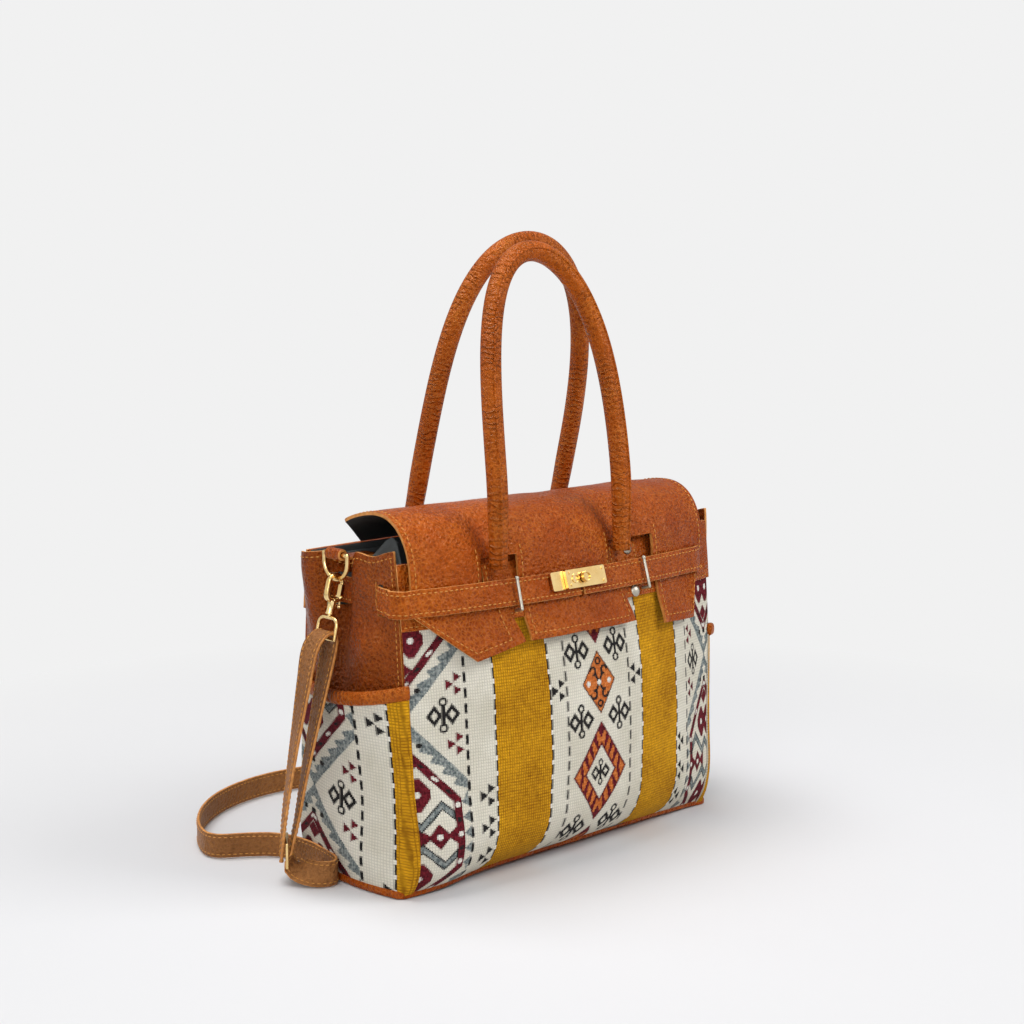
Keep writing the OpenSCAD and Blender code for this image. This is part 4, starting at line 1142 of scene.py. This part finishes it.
def flap_point(x, v, out=FLAP_T):
    """A point of the flap: x is its column, and v goes from the back rim to the tongues' lower edges."""
    trim = FLAP_TRIM * ease((x - FLAP_TRIM_X) / FLAP_TRIM_RUN)
    if v <= ARCH_SHARE:
        t = v / ARCH_SHARE
        w = x / FLAP_W * (FLAP_NECK_W + (FLAP_W - FLAP_NECK_W) * min(1.0, t / NECK_SHARE))
        w -= trim
        back = face_y(w, BACK_RIM_H) - CLOTH_T
        front = face_y(w, FLAP_FOOT_H) + FLAP_IN
        p = [Vector((back, FLAP_BACK_H)), Vector((back - FLAP_REACH, FLAP_BACK_H + FLAP_BACK_RISE)),
             Vector((-front, FLAP_FOOT_H + FLAP_FRONT_RISE)), Vector((-front, FLAP_FOOT_H))]
        s = 1 - t
        at = s ** 3 * p[0] + 3 * s * s * t * p[1] + 3 * s * t * t * p[2] + t ** 3 * p[3]
        way = s * s * (p[1] - p[0]) + 2 * s * t * (p[2] - p[1]) + t * t * (p[3] - p[2])
        way.normalize()
        out += FLAP_RIPPLE * wobble(w, at.x, at.y, 24) * math.sin(math.pi * t) ** 2
        out -= leg_dent(w) * ease((t - 0.62) / 0.18)
        return Vector((w, at.x + out * way.y, at.y - out * way.x))
    t = (v - ARCH_SHARE) / (1 - ARCH_SHARE)
    z = FLAP_FOOT_H + (lookup(x, TONGUE_EDGE) - FLAP_FOOT_H) * t
    slid = SLIDE_AT_BELT * ease(5 * t) + (1 - SLIDE_AT_BELT) * t
    w = x - trim + lookup(x, TONGUE_SLIDE) * slid
    out -= leg_dent(w) * (1 - ease(4 * t))
    out -= UNDER_BELT * ease(5 * t) * (1 - ease((t - CURL_FROM) / 0.4))
    curl = CURL * ease((t - CURL_FROM) / (1 - CURL_FROM)) * (0.6 + wobble(x, 0, 0, 30))
    return Vector((w, -face_y(w, z) - FLAP_IN - out - curl, z))


def flap(u, v):
    """The flap's surface, from the right to the left, so that its faces look outwards."""
    place = (1 - u) * (len(flap_columns) - 1)
    i = min(int(place + TINY), len(flap_columns) - 2)
    x = flap_columns[i] + (flap_columns[i + 1] - flap_columns[i]) * (place - i)
    return flap_point(x, v)


def flap_kept(u, v):
    """Keeps the faces outside the flap's two slots."""
    x = flap_columns[int((1 - u) * (len(flap_columns) - 1))]
    in_slot = any(a - TINY <= x < b - TINY for a, b in SLOTS)
    return not (in_slot and v > SLOT_T * ARCH_SHARE)


bm = grid(len(flap_columns) - 1, FLAP_ROWS, flap, keep=flap_kept)
add("leather_flap", bm, [LEATHER, LINING, EDGE], ["flap"], FLAP_T, FLAP_EDGE)

SEAM_IN = 0.0042
SEAM_END = 0.965
SEAM_PROBE = (0.002, 0.004)


def flap_seam(line):
    """Stitches along a line of columns and shares on the flap."""
    points, normals = [], []
    dx, dv = SEAM_PROBE
    for x, v in line:
        across = flap_point(x - dx, v) - flap_point(x + dx, v)
        along = flap_point(x, v + dv) - flap_point(x, v - dv)
        points.append(flap_point(x, v))
        normals.append(across.cross(along).normalized())
    stitch_row(seams, points, normals)


slot_v = SLOT_T * ARCH_SHARE
flap_ends = (-FLAP_W / 2 + SEAM_IN, FLAP_W / 2 - SEAM_IN)
slot_sides = [x + turn * SEAM_IN for slot in SLOTS for x, turn in zip(slot, (-1, 1))]
tongue_ends = [flap_ends[0], *slot_sides, flap_ends[1]]
for a, b in zip(tongue_ends[::2], tongue_ends[1::2]):
    flap_seam([(x, SEAM_END) for x in span(a, b, 60)])
for x in flap_ends:
    flap_seam([(x, v) for v in span(0.02, SEAM_END, 120)])
for x in slot_sides:
    flap_seam([(x, v) for v in span(slot_v - 0.015, SEAM_END, 80)])
flap_seam([(x, 0.03) for x in span(*flap_ends, 100)])

# The belt's two halves: along the front, round the corner, through the side and to the back
LOCK_X = -0.007
BELT_GAP = 0.002
BELT_END_X = 0.136
INNER_BELT_X = 0.165
LOBE_SLIT_Y = 0.036
BELT_STITCH_IN = 0.0032
LEAN_PROBE = 0.005


def belt_plan(end_x, over):
    """The middle line of the left half, seen from above; over takes it round the front corner to a slit."""
    d = half_d(BELT_H)
    out = BELT_T / 2 + 0.001
    plan = [(x, -face_y(x, BELT_H) - BELT_MID) for x in span(end_x, -HALF_W + 0.026, 9)]
    if over:
        plan += [
            (-HALF_W + 0.010, -d - BELT_MID),
            (-HALF_W - 0.001, -d - BELT_MID),
            (-HALF_W - 0.0055, -d - BELT_MID + 0.004),
            (-HALF_W - 0.0085, -d - BELT_MID + 0.011),
            (-side_x(-d + 0.008, BELT_H) - out - 0.002, -d + 0.006),
            (-side_x(-LOBE_SLIT_Y - 0.008, BELT_H) - out, -LOBE_SLIT_Y - 0.008),
            (-HALF_W - 0.001, -LOBE_SLIT_Y + 0.002),
        ]
    else:
        plan += [(-HALF_W + 0.012, -d - 0.002), (-INNER_BELT_X + 0.002, -d + 0.012)]
    plan += [(-INNER_BELT_X, y) for y in (-LOBE_SLIT_Y + 0.012, -0.010, FOLD_Y, LOBE_SLIT_Y)]
    plan += [(-INNER_BELT_X + 0.002, d - 0.012), (-HALF_W + 0.012, d + 0.001)]
    plan += [(x, face_y(x, BELT_H) + BACK_BELT_MID) for x in span(-HALF_W + 0.024, -BELT_END_X, 2)]
    return smooth_rows(plan, 4)


def belt_lean(x, y):
    """Direction of the belt's width, which leans with the front and the back."""
    if abs(y) < half_d(BELT_H):
        return UP
    x = min(abs(x), HALF_W)
    rise = face_y(x, BELT_H + LEAN_PROBE) - face_y(x, BELT_H - LEAN_PROBE)
    return Vector((0, math.copysign(1, y) * rise / (2 * LEAN_PROBE), 1)).normalized()


for side, end_x, over in (("left", LOCK_X - BELT_GAP, True), ("right", -LOCK_X - BELT_GAP, False)):
    plan = belt_plan(end_x, over)
    path = [Vector((x, y, BELT_H)) for x, y in plan]
    lean = [belt_lean(x, y) for x, y in plan]
    strip = show_edges(sweep(path, lambda i: lean[i], lambda i: (BELT_W / 2, BELT_T / 2), STRIP, 28), 1)
    rows = bmesh.new()
    for edge in (-1, 1):
        sew_edge(rows, path, lean, edge, -1, (BELT_W / 2 - BELT_STITCH_IN, BELT_T / 2))
    to_side(side, strip, rows)
    add("leather_" + side + "_belt", strip, [LEATHER, EDGE], [side + "_belt"])
    join(seams, rows)

# Rolled handles with a sewn ridge, and the tabs under their legs
HANDLE_FOOT_H = 0.2485
HANDLE_R = 0.00775
HANDLE_STAND = 0.0022
GIRTH_AT_FOOT = 0.92
GIRTH_GAIN = 0.13
RIDGE_R = 0.0011
RIDGE_IN = 0.35
RIDGE_OUT = 0.94


def handle_path(mid_x, span_w, top_h, lean, power, drift, gap):
    """Points and radii of a handle that stands at the front."""
    rise = top_h - HANDLE_R - HANDLE_FOOT_H
    left_y, right_y = (face_y(mid_x + side * span_w / 2, HANDLE_FOOT_H) for side in (-1, 1))
    path, girths = [], []
    for k in span(-1, 1, 120):
        t = 1 - abs(k)
        side = -1 if k < 0 else 1
        a = math.pi / 2 * t * t
        up = math.sqrt(math.sin(a))
        girth = HANDLE_R * (GIRTH_AT_FOOT + GIRTH_GAIN * ease(t * 5))
        foot_y = left_y + (right_y - left_y) * (1 + side * math.cos(a)) / 2
        out = foot_y + TAB_OUT + gap + HANDLE_STAND * ease(t * 4) + girth
        path.append(Vector((mid_x + drift * up ** 4 + side * span_w / 2 * math.cos(a),
                            -out + lean * up ** power, HANDLE_FOOT_H + rise * up)))
        girths.append(girth)
    return path, girths


HANDLES = {
    "front": {"mid_x": -0.022, "span_w": 0.132, "top_h": 0.497, "lean": 0.034, "power": 1.5,
              "drift": -0.005, "gap": LAY},
    "back": {"mid_x": 0.028, "span_w": 0.164, "top_h": 0.506, "lean": 0.070, "power": 0.75,
             "drift": -0.003, "gap": 4 * LAY},
}
for name, shape in HANDLES.items():
    path, girths = handle_path(**shape)
    roll = sweep(path, lambda i: ALONG_Y, lambda i: (girths[i], girths[i]), 2.0, 28)
    ridge = []
    for i, at in enumerate(path):
        inward = heading(path, i).cross(ALONG_Y).normalized()
        ridge.append(at + (inward * RIDGE_IN - ALONG_Y * RIDGE_OUT) * girths[i])
    join(roll, sweep(ridge, lambda i: ALONG_Y, lambda i: (RIDGE_R, RIDGE_R), 2.0, 8))
    to_side(name, roll)
    add("rolled_" + name + "_handle", roll, [ROLLED], [name + "_handle"])

TAB_W = 0.036
TAB_Z = (0.209, 0.2515)
TAB_SEAM = (0.09, 0.91)
TAB_SEAM_V = (0.08, 0.94)
TAB_EDGE = 0.0005
TABS = {
    "front_left_tab": -0.080,
    "front_right_tab": 0.052,
    "back_left_tab": -0.054,
    "back_right_tab": 0.110,
}


def handle_tab(middle):
    """The surface of a tab on the front, about its middle."""
    def place(u, v):
        x = middle + TAB_W * (u - 0.5)
        z = TAB_Z[0] + (TAB_Z[1] - TAB_Z[0]) * v
        return Vector((x, -face_y(x, z) - TAB_OUT, z))
    return place


for node, middle in TABS.items():
    place = handle_tab(middle)
    bm = grid(12, 14, place)
    rows = bmesh.new()
    low, high = TAB_SEAM_V
    down = [(TAB_SEAM[0], v) for v in span(high, low, 30)]
    along = [(u, low) for u in span(*TAB_SEAM, 30)]
    up = [(TAB_SEAM[1], v) for v in span(low, high, 30)]
    sew(rows, place, down + along + up)
    to_side(node.split("_")[0], bm, rows)
    add("leather_" + node, bm, [LEATHER, EDGE], [node], LEATHER_T, TAB_EDGE)
    join(seams, rows)

# Leather tabs that carry the rings
RING_X = 0.179
RING_Z = 0.259227
RING_LOOP_R = 0.00335
RING_TAB_T = 0.0025
RING_TAB_IN = 0.1445
for side in ("left", "right"):
    path = [Vector((x, RING_Y, RING_Z - RING_LOOP_R)) for x in span(-RING_TAB_IN, -RING_X, 8)]
    for angle in span(-90, -395, 30)[1:]:
        turn = math.radians(angle)
        x, z = RING_LOOP_R * math.cos(turn), RING_LOOP_R * math.sin(turn)
        path.append(Vector((-RING_X + x, RING_Y, RING_Z + z)))
    loop = sweep(path, lambda i: ALONG_Y, lambda i: (RING_TAB_W / 2, RING_TAB_T / 2), STRIP, 24)
    show_edges(loop, 1)
    to_side(side, loop)
    add("leather_" + side + "_ring_tab", loop, [LEATHER, EDGE], [side + "_ring_tab"])

add("stitching", seams, [THREAD_TAN])

# Cast snap hooks with rounded walls, hung on the rings' bows
BOW_AT = Vector((-0.179, 0.008, 0.239427))
HOOK_LEAN = math.radians(14)
HOOK_HALF_W = 0.0064
HOOK_TURN_Z = -0.0026
HOOK_PIN_Z = -0.0126
BARREL_Z = (-0.0165, -0.027)
BARREL_R = 0.0036
BARREL_WAIST = 0.0006
HOOK_ROOT = (0.0026, 0.0019)
HOOK_TIP = (0.0019, 0.0013)
EAR_TIP = (0.0031, 0.0017)


def hung(x, z):
    """A point of the left hook, from its own middle plane."""
    return BOW_AT + Matrix.Rotation(HOOK_LEAN, 3, "Y") @ Vector((x, 0, z))


for side in ("left", "right"):
    arc = [math.radians(angle) for angle in span(180, -7, 22)]
    wall = [(0, BARREL_Z[0]), (-0.0034, -0.0160), (-0.0058, -0.0142), (-HOOK_HALF_W, -0.0105),
            (-HOOK_HALF_W, -0.006)]
    wall += [(HOOK_HALF_W * math.cos(a), HOOK_TURN_Z + HOOK_HALF_W * math.sin(a)) for a in arc]
    ear = [(0, BARREL_Z[0]), (0.0034, -0.0160), (0.0058, -0.0145), (HOOK_HALF_W, HOOK_PIN_Z)]
    metal_body = bmesh.new()
    for points, tip in ((wall, HOOK_TIP), (ear, EAR_TIP)):
        path = [hung(x, z) for x, z in smooth_rows(points, 3)]
        last = len(path) - 1
        sizes = [[a + (b - a) * i / last for a, b in zip(HOOK_ROOT, tip)] for i in range(last + 1)]
        join(metal_body, sweep(path, lambda i: ALONG_Y, lambda i: sizes[i], 2.6, 16))
    path = [hung(0, z) for z in span(*BARREL_Z, 12)]
    waist = [BARREL_R - BARREL_WAIST * math.sin(math.pi * k) for k in span(0, 1, 12)]
    join(metal_body, sweep(path, lambda i: ALONG_Y, lambda i: (waist[i], waist[i]), 2.0, 24))
    to_side(side, metal_body)
    add("cast_" + side + "_hook", metal_body, [BRASS], [side + "_hook"],
                      body=side + "_hook_body")

# The shoulder strap: the part's route, each row a place, the plan direction of its width and its lift
STRAP_W = 0.020
STRAP_T = 0.0025
STRAP_STEPS = 4
STRAP_STITCH_IN = 0.0028
STRAP_ROUTE = (
    (-0.216, 0.035, 0.020, 56, 0), (-0.217, 0.029, 0.050, 60, 0), (-0.216, 0.021, 0.090, 66, 0),
    (-0.214, 0.013, 0.130, 74, 0), (-0.211, 0.007, 0.165, 84, 0), (-0.205, 0.008, 0.187, 90, 0),
    (-0.198, 0.008, 0.197, 90, 0), (-0.190, 0.008, 0.200, 90, 0), (-0.186, 0.008, 0.196, 90, 0),
    (-0.187, 0.008, 0.186, 90, 0), (-0.194, 0.006, 0.165, 84, 0), (-0.200, 0.010, 0.130, 74, 0),
    (-0.204, 0.018, 0.090, 66, 0), (-0.206, 0.027, 0.050, 60, 0), (-0.209, 0.031, 0.026, 56, 0),
    (-0.211, 0.024, 0.014, 50, 30), (-0.206, 0.007, 0.011, 40, 70), (-0.194, -0.002, 0.011, 30, 90),
    (-0.185, 0.006, 0.011, 0, 90), (-0.181, 0.030, 0.011, 0, 90), (-0.180, 0.048, 0.011, 0, 90),
    (-0.182, 0.066, 0.011, 0, 90), (-0.190, 0.084, 0.011, 0, 90), (-0.206, 0.098, 0.011, 0, 90),
    (-0.226, 0.112, 0.011, 0, 90), (-0.228, 0.130, 0.011, 0, 90), (-0.214, 0.160, 0.011, 0, 90),
    (-0.188, 0.190, 0.011, 0, 90), (-0.155, 0.212, 0.011, 0, 90), (-0.114, 0.224, 0.011, 0, 90),
    (-0.070, 0.222, 0.011, 0, 90), (-0.010, 0.204, 0.011, 0, 90), (0.060, 0.178, 0.011, 0, 90),
    (0.130, 0.148, 0.011, 0, 90), (0.185, 0.112, 0.011, 0, 90), (0.214, 0.070, 0.012, 90, 80),
    (0.218, 0.034, 0.026, 90, 40), (0.216, 0.014, 0.070, 90, 0), (0.211, 0.008, 0.115, 90, 0),
    (0.204, 0.008, 0.150, 90, 0), (0.194, 0.008, 0.186, 90, 0),
)
RISER_ROW = 35


def strap_piece(name, rows):
    """A length of the strap with two rows of stitches."""
    path = [Vector(row[:3]) for row in rows]
    wide = []
    for i, row in enumerate(rows):
        plan, lift = math.radians(row[3]), math.radians(row[4])
        across = Vector((math.cos(plan) * math.cos(lift), math.sin(plan) * math.cos(lift), math.sin(lift)))
        ahead = heading(path, i)
        wide.append((across - ahead * across.dot(ahead)).normalized())
    bm = show_edges(sweep(path, lambda i: wide[i], lambda i: (STRAP_W / 2, STRAP_T / 2), STRIP, 24), 2)
    for edge in (-1, 1):
        for face in (-1, 1):
            sew_edge(bm, path, wide, edge, face, (STRAP_W / 2 - STRAP_STITCH_IN, STRAP_T / 2), 1)
    piece = add(name, bm, [STRAP, THREAD_TAN, EDGE], ["shoulder_strap"], body=None)
    length = sum((b - a).length for a, b in zip(path, path[1:]))
    return piece, path, length


nodes = frame["nodes"]
strap_rows = smooth_rows(STRAP_ROUTE, STRAP_STEPS)
split = RISER_ROW * STRAP_STEPS
strap, strap_path, strap_length = strap_piece("strap", strap_rows[:split + 1])
riser, riser_path, riser_length = strap_piece("strap_riser", strap_rows[split:])
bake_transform(strap)
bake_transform(riser)

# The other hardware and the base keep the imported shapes
HARDWARE = (
    "lock_base_plate", "lock_hasp_plate", "lock_rivets", "lock_grommet", "turn_knob", "left_d_ring",
    "right_d_ring", "left_hook_gate", "right_hook_gate", "left_swivel_eye", "right_swivel_eye",
    "strap_slider",
)
for material, names in ((BRASS, HARDWARE), (NICKEL, ("left_keeper", "right_keeper", "tab_studs")),
                        (LEATHER, ("base_panel",))):
    for name in names:
        nodes[name].data.materials.clear()
        nodes[name].data.materials.append(material)

# A pale floor that turns up into a backdrop, soft light and the photograph's view
FLOOR_REACH = 6.0
BACKDROP_R = 0.8
FLOOR_YAW = math.radians(-42)


def backdrop(u, v):
    """The floor, which turns up into a wall behind the bag."""
    x = FLOOR_REACH * (2 * u - 1)
    way = -FLOOR_REACH + 3 * FLOOR_REACH * v
    bend = max(0.0, way - FLOOR_REACH / 2)
    if bend == 0:
        return Vector((x, way, 0))
    turn = min(bend / BACKDROP_R, math.pi / 2)
    rest = bend - turn * BACKDROP_R
    y = FLOOR_REACH / 2 + BACKDROP_R * math.sin(turn)
    return Vector((x, y, BACKDROP_R * (1 - math.cos(turn)) + rest))


FLOOR_COLOUR = srgb(212, 212, 214)
BACKDROP_COLOUR = srgb(241, 241, 241)
BLEND_NEAR = 0.25
BLEND_FAR = 0.8


def floor_paint():
    """A pale floor that takes the shadow near the bag, and an even backdrop to the eye further off."""
    p = Paint("floor")
    x, y, _ = p.parts(p.place("Object"))
    far = distance(x, y).ramp(BLEND_NEAR, BLEND_FAR)
    eye = Value(p, p.node("ShaderNodeLightPath", {}).outputs["Is Camera Ray"])
    glow = p.node("ShaderNodeEmission", {"Color": BACKDROP_COLOUR, "Strength": 1.0})
    p.finish(FLOOR_COLOUR, 0.95)
    both = p.node("ShaderNodeMixShader", {0: far * eye, 1: p.shader.outputs[0], 2: glow.outputs[0]})
    out = next(n for n in p.tree.nodes if n.type == "OUTPUT_MATERIAL")
    p.feed(out.inputs["Surface"], both.outputs[0])
    return p.material


floor_mesh = bpy.data.meshes.new("floor")
floor_bm = grid(4, 180, backdrop)
for face in floor_bm.faces:
    face.smooth = True
floor_bm.to_mesh(floor_mesh)
floor_bm.free()
floor_mesh.materials.append(floor_paint())
floor = bpy.data.objects.new("floor", floor_mesh)
floor.rotation_euler = (0, 0, FLOOR_YAW)
bpy.context.scene.collection.objects.link(floor)

CAMERA_AT = Vector((-0.9406, -1.0349, 0.4760))
CAMERA_YAW = math.radians(42.14)
CAMERA_PITCH = math.radians(8.168)
CAMERA_LENS = 59.77
SENSOR_W = 36
look = Vector((math.sin(CAMERA_YAW) * math.cos(CAMERA_PITCH), math.cos(CAMERA_YAW) * math.cos(CAMERA_PITCH),
               -math.sin(CAMERA_PITCH)))
camera_data = bpy.data.cameras.new("camera")
camera_data.lens = CAMERA_LENS
camera_data.sensor_width = SENSOR_W
camera = bpy.data.objects.new("camera", camera_data)
camera.location = CAMERA_AT
camera.rotation_euler = look.to_track_quat("-Z", "Y").to_euler()
bpy.context.scene.collection.objects.link(camera)
bpy.context.scene.camera = camera

# A faint sky lights the bag, and the eye and the metal see the backdrop's colour in its place
SKY_COLOUR = (1, 1, 1, 1)
SKY_STRENGTH = 0.25
world = bpy.data.worlds.new("studio")
world.use_nodes = True
studio = Nodes(world.node_tree)
sky = studio.tree.nodes["Background"]
studio.feed(sky.inputs["Color"], SKY_COLOUR)
studio.feed(sky.inputs["Strength"], SKY_STRENGTH)
surround = studio.node("ShaderNodeBackground", {"Color": BACKDROP_COLOUR})
rays = studio.node("ShaderNodeLightPath", {}).outputs
eye, glossy, through = (Value(studio, rays["Is " + kind + " Ray"])
                        for kind in ("Camera", "Glossy", "Transmission"))
shown = eye.most(glossy).most(through)
both = studio.node("ShaderNodeMixShader", {0: shown, 1: sky.outputs[0], 2: surround.outputs[0]})
studio.feed(studio.tree.nodes["World Output"].inputs["Surface"], both.outputs[0])
bpy.context.scene.world = world

LIGHT_AIM = Vector((0, 0, 0.2))

# Name, place, size and power of each lamp
LIGHTS = (
    ("key", Vector((1.3, -1.7, 1.9)), 1.3, 41),
    ("top", Vector((-0.4, 0.4, 2.3)), 1.3, 42),
    ("fill", Vector((-1.9, -1.3, 1.2)), 1.2, 20),
)
for name, at, size, power in LIGHTS:
    lamp_data = bpy.data.lights.new(name, "AREA")
    lamp_data.size = size
    lamp_data.energy = power
    lamp = bpy.data.objects.new(name, lamp_data)
    lamp.location = at
    lamp.rotation_euler = (LIGHT_AIM - at).to_track_quat("-Z", "Y").to_euler()
    bpy.context.scene.collection.objects.link(lamp)
bpy.context.scene.view_settings.view_transform = "Standard"
